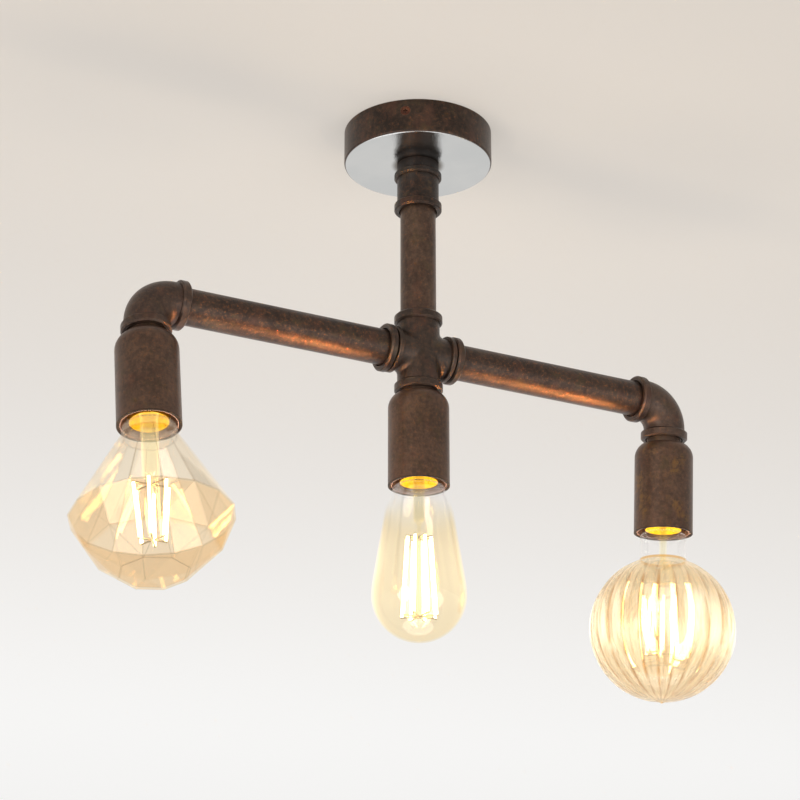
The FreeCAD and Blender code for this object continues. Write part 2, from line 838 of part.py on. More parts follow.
def make_globe_glass():
    """Ribbed shell with a smooth inside, a plain neck and a pip in a dimple where the ribs meet."""
    neck = globe_neck_diameter / 2
    centre = cup_mouth_depth + globe_centre_depth
    outer = globe_diameter / 2
    hub = outer - globe_rib_radius
    half = math.pi / globe_ribs
    valley = hub * math.cos(half) + math.sqrt(globe_rib_radius ** 2 - (hub * math.sin(half)) ** 2)
    inner = valley - glass_wall
    gore = globe_gore()
    gores = []
    for index in range(globe_ribs):
        gores.append(gore.rotated(V(0, 0, 0), V(0, 0, 1), 360 * index / globe_ribs))
    ribbed = placed(gores[0].multiFuse(gores[1:]).removeSplitter(), 0, centre)
    collar = glass_blank(neck, [(neck, centre), (0, centre)], 0)
    dimple = globe_dimple_diameter / 2
    pip = globe_pip_diameter / 2
    tip = centre + outer
    floor = tip - globe_dimple_depth
    edge = dimple + glass_wall / 2
    plug = turned((0, centre), (edge, centre), (edge, floor), (pip, floor), arc((0, floor), pip, 0, 90))
    bore = neck - glass_wall
    start = -math.degrees(math.acos(bore / inner))
    joint = polar((0, centre), inner, start)
    hollow = glass_blank(neck, [joint, arc((0, centre), inner, start, 90)], glass_wall)
    return ribbed.fuse(collar).fuse(plug).cut(hollow)


# Inside of a bulb
def make_glass_stem(diameter, depth, rod_end):
    """Flare sealed in the tail, hollow column, pinch and the rod that carries the wires."""
    flare = glass_tail_diameter / 2 - glass_wall - stem_flare_clearance
    column = diameter / 2
    end = cup_mouth_depth + depth
    across = flare - column
    rise = stem_flare_height
    radius = (across ** 2 + rise ** 2) / (2 * across)
    foot = tail_top + rise
    centre = (column + radius, foot)
    start = 180 + math.degrees(math.asin(rise / radius))
    inner = radius + stem_wall
    inner_start = 180 + math.degrees(math.asin(rise / inner))
    bore = column - stem_wall
    rod = stem_rod_diameter / 2
    return turned(polar(centre, inner, inner_start), polar(centre, radius, start),
                  arc(centre, radius, start, 180), (column, end), (rod, end + stem_pinch_height),
                  (rod, rod_end), (0, rod_end), (0, end), (bore, end), (bore, foot),
                  arc(centre, inner, 180, inner_start))


def filament_ends(top, bottom, spread_top, spread_bottom):
    """Ends of one filament, in the XZ plane."""
    return (V(spread_top / 2, 0, -cup_mouth_depth - top),
            V(spread_bottom / 2, 0, -cup_mouth_depth - bottom))


def round_axis(shape, count):
    """Group of equal solids, spaced evenly round the Z axis."""
    copies = []
    for index in range(count):
        copies.append(shape.rotated(V(0, 0, 0), V(0, 0, 1), 360 * index / count))
    return Part.makeCompound(copies)


def make_filaments(count, ends):
    first, last = ends
    stick = Part.makeCylinder(filament_diameter / 2, (last - first).Length, first, last - first)
    return round_axis(stick, count)


def make_support_wires(count, ends):
    """Spokes from the stem's rod to both ends of each filament."""
    first, last = ends
    wire = support_wire_diameter
    tilt = abs(last.x - first.x) / (last - first).Length * filament_diameter / 2
    start = stem_rod_diameter / 2 + support_wire_gap
    spokes = []
    above = first.z + tilt + support_wire_gap
    below = last.z - tilt - support_wire_gap - wire
    for end, level in ((first, above), (last, below)):
        length = end.x + filament_diameter / 2 - start
        spokes.append(Part.makeBox(length, wire, wire, V(start, -wire / 2, level)))
    return round_axis(Part.makeCompound(spokes), count)


# Leads
def round_wire(points, radii, diameter):
    """Straight runs joined by a tangent bend of the given radius at each corner."""
    pieces = []
    here = points[0]
    for index in range(1, len(points) - 1):
        corner = points[index]
        before = (points[index - 1] - corner).normalize()
        after = (points[index + 1] - corner).normalize()
        half = before.getAngle(after) / 2
        radius = radii[index - 1]
        first = corner + before * (radius / math.tan(half))
        centre = corner + (before + after).normalize() * (radius / math.sin(half))
        pieces.append(Part.makeCylinder(diameter / 2, (first - here).Length, here, first - here))
        section = Part.Face(Part.Wire(Part.makeCircle(diameter / 2, first, before)))
        bend = section.revolve(centre, after.cross(before), 180 - 2 * math.degrees(half))
        pieces.append(bend)
        here = corner + after * (radius / math.tan(half))
    last = points[-1]
    pieces.append(Part.makeCylinder(diameter / 2, (last - here).Length, here, last - here))
    return pieces[0].multiFuse(pieces[1:]).removeSplitter()


def make_lead(way, x, y, side):
    """One wire, from its way in the terminal block to its terminal in a lampholder."""
    turn = math.radians(bracket_angle)
    spot = (x * math.cos(turn) + y * math.sin(turn), y * math.cos(turn) - x * math.sin(turn))

    def in_room(u, v, depth):
        return V(u * math.cos(turn) - v * math.sin(turn), u * math.sin(turn) + v * math.cos(turn), -depth)

    level = bracket_thickness + block_way_depth
    out = 1 if y > 0 else -1
    points = [in_room(block_offset, way, level), in_room(block_offset - lead_fan_out, way, level),
              in_room(*spot, nipple_top + lead_into_nipple)]
    radii = [lead_bend, lead_bend]
    if side:
        points += [V(x, y, -cross_depth), at_fitting(V(0, y, 0), side)]
        radii += [lead_cross_bend, lead_elbow_bend]
    start = chamber_top + lead_spread_start
    end = chamber_top + lead_spread_end
    points += [at_fitting(V(0, y, -start), side), at_fitting(V(0, out * lead_spread, -end), side),
               at_fitting(V(0, out * lead_spread, -chamber_bottom - lead_terminal_depth), side)]
    radii += [lead_bend, lead_bend]
    return round_wire(points, radii, lead_diameter)


def lead_pair(side):
    """Both wires of one lampholder: the left pair takes the ways on one side of the block's screw."""
    steps = (1, -1) if side == 0 else (-2 * side, -3 * side)
    ways = sorted((block_way_pitch * step for step in steps), reverse=True)
    wires = []
    for way, y in zip(ways, (lead_half_gap, -lead_half_gap)):
        wires.append(make_lead(way, lead_stem_offset * side, y, side))
    return Part.makeCompound(wires)


def make_pipework():
    stem_top = canopy_height + coupling_length - thread_reach
    arm_start = cross_reach - thread_reach
    arm_end = arm_spacing - elbow_reach + thread_reach
    arm = ring(tube_radius, tube_bore_radius, arm_start, arm_end)
    right_arm = placed(aimed(arm, 270), 0, cross_depth)
    right_elbow = make_right_elbow()
    return {
        "top_coupling": make_coupling(),
        "stem_tube": ring(tube_radius, tube_bore_radius, stem_top, cross_depth - cross_reach + thread_reach),
        "cross_fitting": make_cross(),
        "left_arm_tube": mirrored(right_arm),
        "right_arm_tube": right_arm,
        "left_elbow": hung(mirrored(right_elbow), -1),
        "right_elbow": hung(right_elbow, 1)}


def make_ceiling_group():
    return {
        "canopy": make_canopy(),
        "ceiling_bracket": make_bracket(),
        "canopy_side_screws": make_side_screws(),
        "canopy_nipple": make_nipple(),
        "nipple_washer": make_nipple_washer(),
        "canopy_locknut": make_canopy_locknut(),
        "terminal_block": make_terminal_block(),
        "block_screw": make_block_screw(),
        "earth_screw": make_earth_screw()}


def make_lampholder(reach):
    return {
        "reducer_bush": make_bush(reach),
        "lampholder_cup": make_cup(),
        "lampholder_body": make_holder_body(),
        "lampholder_sleeve": make_sleeve(),
        "screw_shell": make_screw_shell(),
        "centre_contact": make_centre_contact()}


def make_bulb(glass, stem_diameter, stem_depth, count, ends):
    rod_end = -ends[1].z + 2 * support_wire_diameter
    return {
        "cap_contact": make_cap_contact(),
        "cap_insulator": make_cap_insulator(),
        "cap": make_cap(),
        "glass": glass,
        "glass_stem": make_glass_stem(stem_diameter, stem_depth, rod_end),
        "filaments": make_filaments(count, ends),
        "support_wires": make_support_wires(count, ends)}


def make_bulbs():
    diamond_ends = filament_ends(diamond_filament_top, diamond_filament_bottom,
                                 diamond_filament_spread_top, diamond_filament_spread_bottom)
    pear_ends = filament_ends(pear_filament_top, pear_filament_bottom,
                              pear_filament_spread_top, pear_filament_spread_bottom)
    globe_ends = filament_ends(globe_filament_top, globe_filament_bottom,
                               globe_filament_spread_top, globe_filament_spread_bottom)
    return {
        "diamond": make_bulb(make_diamond_glass(), diamond_stem_diameter, diamond_stem_depth,
                             diamond_filaments, diamond_ends),
        "pear": make_bulb(make_pear_glass(), pear_stem_diameter, pear_stem_depth, pear_filaments, pear_ends),
        "globe": make_bulb(make_globe_glass(), globe_stem_diameter, globe_stem_depth,
                           globe_filaments, globe_ends)}


def make_parts():
    parts = {**make_ceiling_group(), **make_pipework()}
    bulbs = make_bulbs()
    nuts = []
    for place, side, bulb in (("left", -1, "diamond"), ("centre", 0, "pear"), ("right", 1, "globe")):
        for name, shape in make_lampholder(elbow_reach if side else cross_reach).items():
            parts[place + "_" + name] = hung(shape, side)
        for name, shape in bulbs[bulb].items():
            parts[bulb + "_" + name] = hung(shape, side)
        parts[place + "_leads"] = lead_pair(side)
        nuts.append(hung(make_holder_nut(), side))
    parts["holder_locknuts"] = Part.makeCompound(nuts)
    return parts


os.makedirs("parts", exist_ok=True)
for name, shape in make_parts().items():
    shape.exportStep("parts/" + name + ".step")
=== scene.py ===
# %% [markdown]
# A ceiling light of antique bronze pipe fittings, with three screw-in filament bulbs.
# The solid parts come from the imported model, already in their places, in metres, with the ceiling
# at z = 0 and the arms along X. This lesson gives them their finishes, rolls the threads of the
# bulb caps and their sockets, and adds the small fasteners that only show from close by.

import json
import math

import bmesh
import bpy
from mathutils import Matrix, Vector

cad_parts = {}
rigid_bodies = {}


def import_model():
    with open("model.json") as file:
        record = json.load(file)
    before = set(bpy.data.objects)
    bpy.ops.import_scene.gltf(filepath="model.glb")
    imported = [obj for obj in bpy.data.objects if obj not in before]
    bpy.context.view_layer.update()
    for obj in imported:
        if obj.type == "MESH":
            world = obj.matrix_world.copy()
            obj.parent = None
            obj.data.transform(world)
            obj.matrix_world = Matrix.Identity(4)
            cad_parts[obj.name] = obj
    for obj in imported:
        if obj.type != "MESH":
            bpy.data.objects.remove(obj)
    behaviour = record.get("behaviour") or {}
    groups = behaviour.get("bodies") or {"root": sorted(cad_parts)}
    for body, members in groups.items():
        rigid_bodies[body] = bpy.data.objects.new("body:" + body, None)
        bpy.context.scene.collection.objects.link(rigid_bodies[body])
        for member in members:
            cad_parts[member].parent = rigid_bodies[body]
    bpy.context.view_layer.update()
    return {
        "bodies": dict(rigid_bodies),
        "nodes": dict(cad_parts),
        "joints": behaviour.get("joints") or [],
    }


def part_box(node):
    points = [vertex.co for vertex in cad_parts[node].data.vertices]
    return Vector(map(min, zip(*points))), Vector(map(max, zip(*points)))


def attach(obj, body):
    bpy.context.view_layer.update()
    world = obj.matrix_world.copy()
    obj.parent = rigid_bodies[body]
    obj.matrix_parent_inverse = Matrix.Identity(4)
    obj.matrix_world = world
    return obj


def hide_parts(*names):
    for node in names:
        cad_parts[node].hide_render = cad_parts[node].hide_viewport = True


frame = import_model()
nodes = frame["nodes"]

# %% [markdown]
# The photograph was taken from below, from the front left, with a long lens. A long lens keeps the
# three bulbs nearly the same size, although the left one hangs closer to the camera. The camera's
# place and lens were worked out from measured points of the light, so there is no shift and no roll.

# %% Camera
eye = Vector((-0.71926, -1.34269, -0.81457))
looking = Vector((0.431522, 0.821991, 0.371644))
lens = bpy.data.cameras.new("long_lens")
lens.lens = 107.775
lens.sensor_width = 36.0
lens.clip_end = 50.0
camera = bpy.data.objects.new("camera", lens)
camera.location = eye
camera.rotation_euler = looking.to_track_quat("-Z", "Y").to_euler()
bpy.context.scene.collection.objects.link(camera)
bpy.context.scene.camera = camera
bpy.context.scene.view_settings.view_transform = "Standard"
print("camera stands", round(eye.length, 2), "m away")

# %% [markdown]
# Each bulb hangs on its own axis, and the end elbows lean a little, so the axes aren't all plumb.
# The hinge on which a bulb unscrews lies on that axis. Its place and direction give one matrix for
# each lamp, with x to the right, z up the lamp and the origin in the middle of its cup's mouth. All
# that belongs to a lamp is then drawn upright and set in place by that matrix.

# %% Lamp axes
BULBS = ("diamond", "pear", "globe")
SIDES = ("left", "centre", "right")
mouth_below_hinge = 0.0175


def lamp_matrix(bulb):
    """Matrix from a lamp's own upright frame, with its origin in the cup's mouth, to the model."""
    hinge = next(joint for joint in frame["joints"] if joint["name"] == bulb + "_turn")
    down = Vector(hinge["axis"]).normalized()
    place = Vector(hinge["pos_m"]) + down * mouth_below_hinge
    right = Vector((1.0, 0.0, 0.0))
    up = -down
    return Matrix.Translation(place) @ Matrix((right, up.cross(right), up)).transposed().to_4x4()


lamps = {bulb: lamp_matrix(bulb) for bulb in BULBS}
for bulb, matrix in lamps.items():
    print(bulb, "mouth at", [round(value, 4) for value in matrix.translation])

# %% [markdown]
# Materials are graphs of nodes, and most of them are small sums: a noise times a colour, one minus a
# mask. Written as Python expressions they stay readable, so one class wraps a socket. An expression
# on values adds Math nodes, and every other node comes from the one method node.


# %% Shader expressions
class Wire:
    """One socket of a material's graph."""

    def __init__(self, tree, socket=None):
        self.tree = tree
        self.socket = socket

    def node(self, kind, settings=None, inputs=None, output=0):
        """Add a node: its settings first, then the values or links of its sockets."""
        made = self.tree.nodes.new(kind)
        for name, value in (settings or {}).items():
            setattr(made, name, value)
        for name, value in (inputs or {}).items():
            if isinstance(value, Wire):
                self.tree.links.new(value.socket, made.inputs[name])
            else:
                made.inputs[name].default_value = value
        return Wire(self.tree, made.outputs[output])

    def math(self, operation, *values):
        return self.node("ShaderNodeMath", {"operation": operation}, dict(enumerate(values)))

    def __add__(self, other):
        return self.math("ADD", self, other)

    def __radd__(self, other):
        return self.math("ADD", other, self)

    def __sub__(self, other):
        return self.math("SUBTRACT", self, other)

    def __rsub__(self, other):
        return self.math("SUBTRACT", other, self)

    def __mul__(self, other):
        return self.math("MULTIPLY", self, other)

    def __rmul__(self, other):
        return self.math("MULTIPLY", other, self)

    def __truediv__(self, other):
        return self.math("DIVIDE", self, other)

    def __abs__(self):
        return self.math("ABSOLUTE", self)

    def clamp(self):
        """The value, held between 0 and 1."""
        return self.node("ShaderNodeClamp", {}, {"Value": self})

    def between(self, low, high):
        """0 below low, 1 above high and a smooth step from one to the other."""
        return self.node("ShaderNodeMapRange", {"interpolation_type": "SMOOTHSTEP"},
                         {"Value": self, "From Min": low, "From Max": high})

    def blend(self, first, second):
        """Colour that goes from first to second as this value goes from 0 to 1."""
        return self.node("ShaderNodeMix", {"data_type": "RGBA"}, {0: self, 6: first, 7: second}, 2)


print("a Wire can stand in sums with +, -, * and /")

# %% [markdown]
# Colours are easiest to read as the 0 to 255 values that a screen shows, but a shader reckons with
# amounts of light. The curve between the two is a fixed one, so one function does the change.


# %% Colours
def rgb(red, green, blue):
    """Linear colour from the 0 to 255 values that a screen shows."""
    parts = []
    for value in (red, green, blue):
        share = value / 255
        parts.append(share / 12.92 if share <= 0.04045 else ((share + 0.055) / 1.055) ** 2.4)
    return (*parts, 1.0)


BLACK = (0.0, 0.0, 0.0, 1.0)
WHITE = (1.0, 1.0, 1.0, 1.0)
print("a middle grey of 128 is", round(rgb(128, 128, 128)[0], 3), "of white's light")

# %% [markdown]
# Each finish starts the same way: a new material, its Principled shader, and the place of the
# surface in object coordinates. Those are metres here, so a noise with a scale of 1000 has details
# of about a millimetre. The same noise feeds the colour, the roughness and the bumps, because on a
# real surface they change together.


# %% Start a finish
def new_finish(name, **constants):
    """Material with a Principled shader. Constants go straight on the shader's sockets."""
    material = bpy.data.materials.new(name)
    material.use_nodes = True
    tree = material.node_tree
    shader = tree.nodes["Principled BSDF"]
    for socket, value in constants.items():
        shader.inputs[socket.replace("_", " ")].default_value = value
    return material, Wire(tree), shader


def feed(wire, shader, socket):
    """Link a value or colour to one of the shader's sockets."""
    wire.tree.links.new(wire.socket, shader.inputs[socket])


def place_of(graph):
    """Place of the surface on the model, in metres."""
    return graph.node("ShaderNodeTexCoord", {}, {}, "Object")


def clouds(graph, scale, detail=3.0, roughness=0.5, stretch=None):
    """Noise value with features of about 1 / scale metres."""
    place = place_of(graph)
    if stretch:
        place = graph.node("ShaderNodeMapping", {}, {"Vector": place, "Scale": stretch})
    return graph.node("ShaderNodeTexNoise", {}, {"Vector": place, "Scale": scale, "Detail": detail,
                                                "Roughness": roughness})


def bumps(graph, shader, height, distance):
    """Fine relief: a height of 0 to 1, as deep as the distance in metres."""
    feed(graph.node("ShaderNodeBump", {}, {"Height": height, "Distance": distance}), shader, "Normal")


print("noise with a scale of 330 has spots of about", round(1000 / 330, 1), "mm")

# %% [markdown]
# Much of a lamp changes with the depth below its cup's mouth: a rim, the tail of the glass, the
# glow. The end lamps lean, so that depth is measured along each lamp's own axis, as a dot product
# of the place with the axis. The same sum on the surface's direction tells inside from outside.


# %% Masks in a lamp's own frame
def dot(graph, first, second):
    """Dot product of two vectors, as a value."""
    return graph.node("ShaderNodeVectorMath", {"operation": "DOT_PRODUCT"}, {0: first, 1: second}, "Value")


def along(graph, bulb, column):
    """Place of the surface along one axis of a lamp's own frame: 0 is right, 1 is back, 2 is up."""
    axis = lamps[bulb].to_3x3().col[column]
    return dot(graph, place_of(graph), tuple(axis)) - lamps[bulb].translation.dot(axis)


def below_mouth(graph, bulb):
    """Depth of the surface below a cup's mouth, along that lamp's own axis."""
    return 0.0 - along(graph, bulb, 2)


def faces_axis(graph, bulb):
    """1 on walls that look towards a lamp's axis, and 0 on walls that look away from it."""
    normal = graph.node("ShaderNodeTexCoord", {}, {}, "Normal")
    outward = 0.0
    for column in (0, 1):
        axis = lamps[bulb].to_3x3().col[column]
        outward = outward + dot(graph, normal, tuple(axis)) * along(graph, bulb, column)
    return 1.0 - outward.between(-0.002, 0.002)


for bulb, side in zip(BULBS, SIDES):
    lean = math.degrees(lamps[bulb].to_3x3().col[2].angle(Vector((0.0, 0.0, 1.0))))
    print("the", side, "lamp leans", round(lean, 1), "degrees")

# %% [markdown]
# Rims and corners look different from open surfaces: they wear first, and glass is thicker there. A
# Bevel node rounds the surface's direction near an edge, and how far that turns it from the true
# direction is a mask of the edges. It needs no painting and follows every edge of the shape.

# %% Edge lines
sharp_rim = 0.80
open_surface = 0.995


def edge_lines(graph, width, sharp=sharp_rim, flat=open_surface):
    """1 on rims and corners, and 0 on the open surface. Shallow corners need sharp and flat near 1."""
    rounded = graph.node("ShaderNodeBevel", {"samples": 4}, {"Radius": width})
    true = graph.node("ShaderNodeNewGeometry", {}, {}, "Normal")
    return 1.0 - dot(graph, rounded, true).between(sharp, flat)


for cosine in (sharp_rim, open_surface):
    print("a cosine of", cosine, "is a turn of", round(math.degrees(math.acos(cosine)), 1), "degrees")

# %% [markdown]
# The pipes have an antique finish: dark brown lacquer, sponged on unevenly over copper-coloured
# metal and rubbed back by hand. The lacquer is a mottle at two scales, with reddish and olive
# patches. Fine copper flecks show where the rubbing went through. They are more metallic than the
# lacquer, so they only flash where they mirror a lit bulb, as under the arms. The rims are rubbed
# most, and the mask of the edges finds them.

# %% Antique bronze
reddish_lacquer = rgb(92, 62, 50)
olive_lacquer = rgb(84, 70, 48)
golden_lacquer = rgb(126, 92, 50)
copper_fleck = rgb(172, 108, 66)
rubbed_rim = rgb(148, 124, 106)
# Colour of the painted shade in the corner under the canopy and inside the cups.
painted_shade_colour = rgb(26, 20, 17)
rim_width = 0.0008


def antique_bronze(name, dark, mid, grain, shaded=None, flecked=0.40, golden=0.0):
    """Lacquered pipe finish. Where the mask that shaded makes is 1, shade is painted in, dull and dark."""
    material, graph, shader = new_finish(name, Coat_IOR=1.5, Coat_Roughness=0.25, Specular_IOR_Level=0.3)
    broad = clouds(graph, 42.0, 4.0, 0.6)
    mottle = clouds(graph, 330.0, 5.0, 0.7)
    fine = clouds(graph, 1900.0, 3.0, 0.6)
    reddish = clouds(graph, 70.0, 5.0, 0.66, (1.0, 1.0, 0.8)).between(0.50, 0.68)
    olive = clouds(graph, 96.0, 5.0, 0.66, (0.9, 1.0, 1.0)).between(0.52, 0.70)
    tone = (broad * 0.45 + mottle * 0.55).between(0.34, 0.66)
    flecks = (fine * 0.6 + mottle * 0.4).between(0.55, 0.64)
    worn = edge_lines(graph, rim_width) * (0.35 + 0.65 * mottle.between(0.40, 0.60))
    base = tone.blend(dark, mid)
    base = (reddish * 0.5).blend(base, reddish_lacquer)
    base = (olive * 0.5).blend(base, olive_lacquer)
    if golden:
        patch = clouds(graph, 55.0, 4.0, 0.62, (1.0, 1.0, 0.7)).between(0.50, 0.66)
        base = (patch * mottle.between(0.36, 0.56) * golden).blend(base, golden_lacquer)
    base = (flecks * flecked).blend(base, copper_fleck)
    base = (worn * 0.55).blend(base, rubbed_rim)
    metal = (0.40 + 0.46 * flecks + 0.3 * worn).clamp()
    gloss = 0.37 - 0.13 * flecks + 0.22 * (mottle - 0.5)
    # Painted shade: where the mask is 1, the colour turns dark and dull, less metallic and rougher.
    if shaded:
        shadowed = shaded(graph)
        base = shadowed.blend(base, painted_shade_colour)
        metal = metal * (1.0 - 0.9 * shadowed)
        gloss = gloss + 0.3 * shadowed
    feed(base, shader, "Base Color")
    feed(metal, shader, "Metallic")
    feed(gloss, shader, "Roughness")
    feed(0.02 + 0.12 * tone, shader, "Coat Weight")
    bumps(graph, shader, fine * 0.35 + mottle * 0.65, grain)
    return material


print("the rubbed rims are", round(rim_width * 1000, 1), "mm wide")

# %% [markdown]
# In the corner under the canopy, and on the rim and the inside of each cup, shade is painted in: a
# dull dark colour, less metallic and rougher. Both places are found by height: in the model for the
# corner, and along the lamp's axis for the cups.

# %% Painted shade in the corner and the cups
corner_shade_heights = (-0.043, -0.027)
rim_shade_depths = (-0.0006, -0.0002)


def height_of(graph):
    """Height of the surface, with the ceiling at 0."""
    return graph.node("ShaderNodeSeparateXYZ", {}, {"Vector": place_of(graph)}, "Z")


def painted_shade_under_canopy(graph):
    """The corner between the coupling and the canopy, darkened with painted shade."""
    return 0.75 * height_of(graph).between(*corner_shade_heights)


def painted_shade_in_cup(bulb):
    """The cup's cut rim and its inside, darkened with painted shade."""
    return lambda graph: 0.9 * below_mouth(graph, bulb).between(*rim_shade_depths)


print("thick lacquer above", corner_shade_heights[1], "m and past the cups' mouths")

# %% [markdown]
# Tubes, castings and cups took the lacquer differently. The rolled tubes are smooth, and the
# castings have the coarse skin of the mould, so their grain is nearly three times as deep. The
# right cup has golden-brown blotches that hardly show on the other two. So one function makes them
# all, with a dark and a middle tone for each.

# %% Bronze of each piece
smooth_grain = 0.00016
arm_grain = 0.00034
cast_grain = 0.00042
screw_grain = 0.00010
much_rubbed = 0.85
bronze = antique_bronze("antique_bronze", rgb(68, 52, 43), rgb(100, 79, 65), smooth_grain)
arm_bronze = antique_bronze("arm_bronze", rgb(50, 38, 33), rgb(78, 61, 50), arm_grain, flecked=much_rubbed)
screw_bronze = antique_bronze("screw_bronze", rgb(60, 33, 24), rgb(106, 58, 39), screw_grain,
                              flecked=much_rubbed)
cast_bronze = antique_bronze("cast_antique_bronze", rgb(47, 38, 33), rgb(74, 60, 51), cast_grain)
elbow_bronze = antique_bronze("elbow_bronze", rgb(62, 48, 42), rgb(92, 74, 63), cast_grain)
# The coupling's tones are darker than the other castings': painted shade for the shade under the canopy,
# which also darkens its reflection in the polished underside.
shaded_coupling_bronze = antique_bronze("shaded_coupling_bronze", rgb(35, 28, 24), rgb(57, 46, 39), cast_grain,
                                 painted_shade_under_canopy)
golden_share = {"diamond": 0.12, "pear": 0.10, "globe": 0.75}
cup_bronze = {}
for bulb in BULBS:
    cup_bronze[bulb] = antique_bronze(bulb + "_cup_bronze", rgb(73, 56, 46), rgb(104, 79, 64), smooth_grain,
                                      painted_shade_in_cup(bulb), golden=golden_share[bulb])
print("castings have", round(cast_grain / smooth_grain, 1), "times the grain of the tubes")

# %% [markdown]
# The canopy has the same lacquer on its wall, but its flat underside was polished first. Seen at a
# low angle it mirrors the pale room, so there the colour is lighter and the roughness lower. The
# height above the underside tells the two apart, because both are one pressed piece of steel. A
# narrow darker ring close round the coupling is painted shade, which darkens its reflection there.

# %% Canopy finish
underside_heights = (-0.0249, -0.0246)
shade_ring_radii = (0.0145, 0.0200)


def canopy_finish():
    """The wall's lacquer goes over into a polished underside at the bottom edge."""
    material = antique_bronze("canopy_bronze", rgb(45, 35, 29), rgb(72, 56, 46), smooth_grain)
    graph = Wire(material.node_tree)
    shader = material.node_tree.nodes["Principled BSDF"]
    polished = 1.0 - height_of(graph).between(*underside_heights)
    wall = {socket: Wire(graph.tree, shader.inputs[socket].links[0].from_socket)
            for socket in ("Base Color", "Metallic", "Roughness", "Coat Weight")}
    haze = clouds(graph, 24.0, 3.0, 0.5)
    bright = haze.between(0.3, 0.7).blend(rgb(206, 208, 209), rgb(213, 214, 214))
    level = graph.node("ShaderNodeVectorMath", {"operation": "MULTIPLY"},
                       {0: place_of(graph), 1: (1.0, 1.0, 0.0)})
    from_stem = graph.node("ShaderNodeVectorMath", {"operation": "LENGTH"}, {0: level}, "Value")
    # Painted shade: a darker ring round the coupling, which darkens the coupling's reflection in the polish.
    bright = from_stem.between(*shade_ring_radii).blend(rgb(104, 97, 90), bright)
    feed(polished.blend(wall["Base Color"], bright), shader, "Base Color")
    feed(wall["Metallic"] * (1.0 - polished) + polished, shader, "Metallic")
    feed(wall["Roughness"] * (1.0 - polished) + polished * (0.055 + 0.04 * haze), shader, "Roughness")
    feed(wall["Coat Weight"] * (1.0 - polished), shader, "Coat Weight")
    return material


canopy_bronze = canopy_finish()
print("the canopy's finish has", len(canopy_bronze.node_tree.nodes), "nodes")

# %% [markdown]
# The plain metals and plastics differ in colour and gloss, and each gets the fine unevenness that a
# rolled, drawn or moulded surface has, so that no piece looks like flat paint.


# %% Plain metals and plastics
def plain_finish(name, colour, second, metallic, gloss, scale, grain):
    """Finish that wanders between two close colours, with a fine grain."""
    material, graph, shader = new_finish(name, Metallic=metallic)
    cloud = clouds(graph, scale, 4.0, 0.6)
    feed(cloud.between(0.35, 0.65).blend(colour, second), shader, "Base Color")
    feed((gloss + 0.16 * (cloud - 0.5)).clamp(), shader, "Roughness")
    bumps(graph, shader, clouds(graph, scale * 4.0, 2.0, 0.5), grain)
    return material


zinc = plain_finish("zinc_plate", rgb(178, 180, 180), rgb(152, 156, 160), 1.0, 0.34, 160.0, 0.00006)
brass = plain_finish("drawn_brass", rgb(206, 168, 92), rgb(186, 146, 74), 1.0, 0.26, 120.0, 0.00004)
nickel = plain_finish("nickel_wire", rgb(188, 180, 168), rgb(160, 152, 142), 1.0, 0.30, 300.0, 0.00002)
phenolic = plain_finish("black_phenolic", rgb(30, 28, 27), rgb(44, 41, 39), 0.0, 0.42, 220.0, 0.00006)
nylon = plain_finish("white_nylon", rgb(228, 228, 222), rgb(214, 215, 208), 0.0, 0.38, 150.0, 0.00004)
black_glass = plain_finish("black_glass", rgb(16, 15, 18), rgb(30, 28, 32), 0.0, 0.12, 140.0, 0.00002)
flex_skin = plain_finish("wire_insulation", rgb(36, 34, 34), rgb(52, 48, 47), 0.0, 0.5, 260.0, 0.00004)
print("made 3 metals, 3 plastics and black glass")

# %% [markdown]
# The sleeve inside each cup is a thin tube of brown insulating fibre. Only its cut edge is pale,
# and that edge shows in each mouth as a fine bright ring. The depth along the lamp's own axis finds
# the edge, on a leaning lamp too.

# %% Fibre sleeve
cut_edge_depths = (-0.0008, -0.0006)


def fibre_sleeve(bulb):
    """Brown fibre with a pale cut edge."""
    material, graph, shader = new_finish(bulb + "_fibre_sleeve")
    edge = below_mouth(graph, bulb).between(*cut_edge_depths)
    fibres = clouds(graph, 900.0, 3.0, 0.6, (1.0, 1.0, 0.15))
    wall = fibres.between(0.3, 0.7).blend(rgb(84, 60, 50), rgb(108, 80, 66))
    feed(edge.blend(wall, rgb(118, 92, 86)), shader, "Base Color")
    feed((0.45 + 0.2 * fibres).clamp(), shader, "Roughness")
    bumps(graph, shader, fibres, 0.00005)
    return material


sleeve_fibre = {bulb: fibre_sleeve(bulb) for bulb in BULBS}
print("the sleeves' cut edge lies", abs(cut_edge_depths[1]) * 1000, "mm inside the mouth")

# %% [markdown]
# The caps of the bulbs are thin yellow metal. The stem lets the filaments' light into the cap, so
# its inside looks like a lit lantern. A faint emission in the cap's own yellow stands for that
# light, which a lamp behind two layers of glass would bring only with a lot of grain. Only walls
# that look inward have it, so a bulb that is unscrewed doesn't shine from the outside of its thread.

# %% Cap metal
cap_light = {"diamond": 0.86, "pear": 1.25, "globe": 1.25}
lit_depths = (-0.030, -0.014)
lantern_yellow = (1.0, 0.67, 0.02, 1.0)


def cap_metal(bulb):
    """Yellow metal of one cap, lit from inside."""
    material, graph, shader = new_finish(bulb + "_cap_metal", Metallic=0.85,
                                         Emission_Strength=cap_light[bulb])
    cloud = clouds(graph, 260.0, 4.0, 0.6)
    feed(cloud.between(0.35, 0.65).blend(rgb(234, 184, 62), rgb(216, 160, 40)), shader, "Base Color")
    lit = below_mouth(graph, bulb).between(*lit_depths) * faces_axis(graph, bulb)
    lit = lit * (0.50 + 0.50 * cloud.between(0.3, 0.7))
    feed(lit.blend(BLACK, lantern_yellow), shader, "Emission Color")
    feed(0.22 + 0.14 * cloud, shader, "Roughness")
    bumps(graph, shader, clouds(graph, 700.0, 3.0, 0.6), 0.00008)
    return material


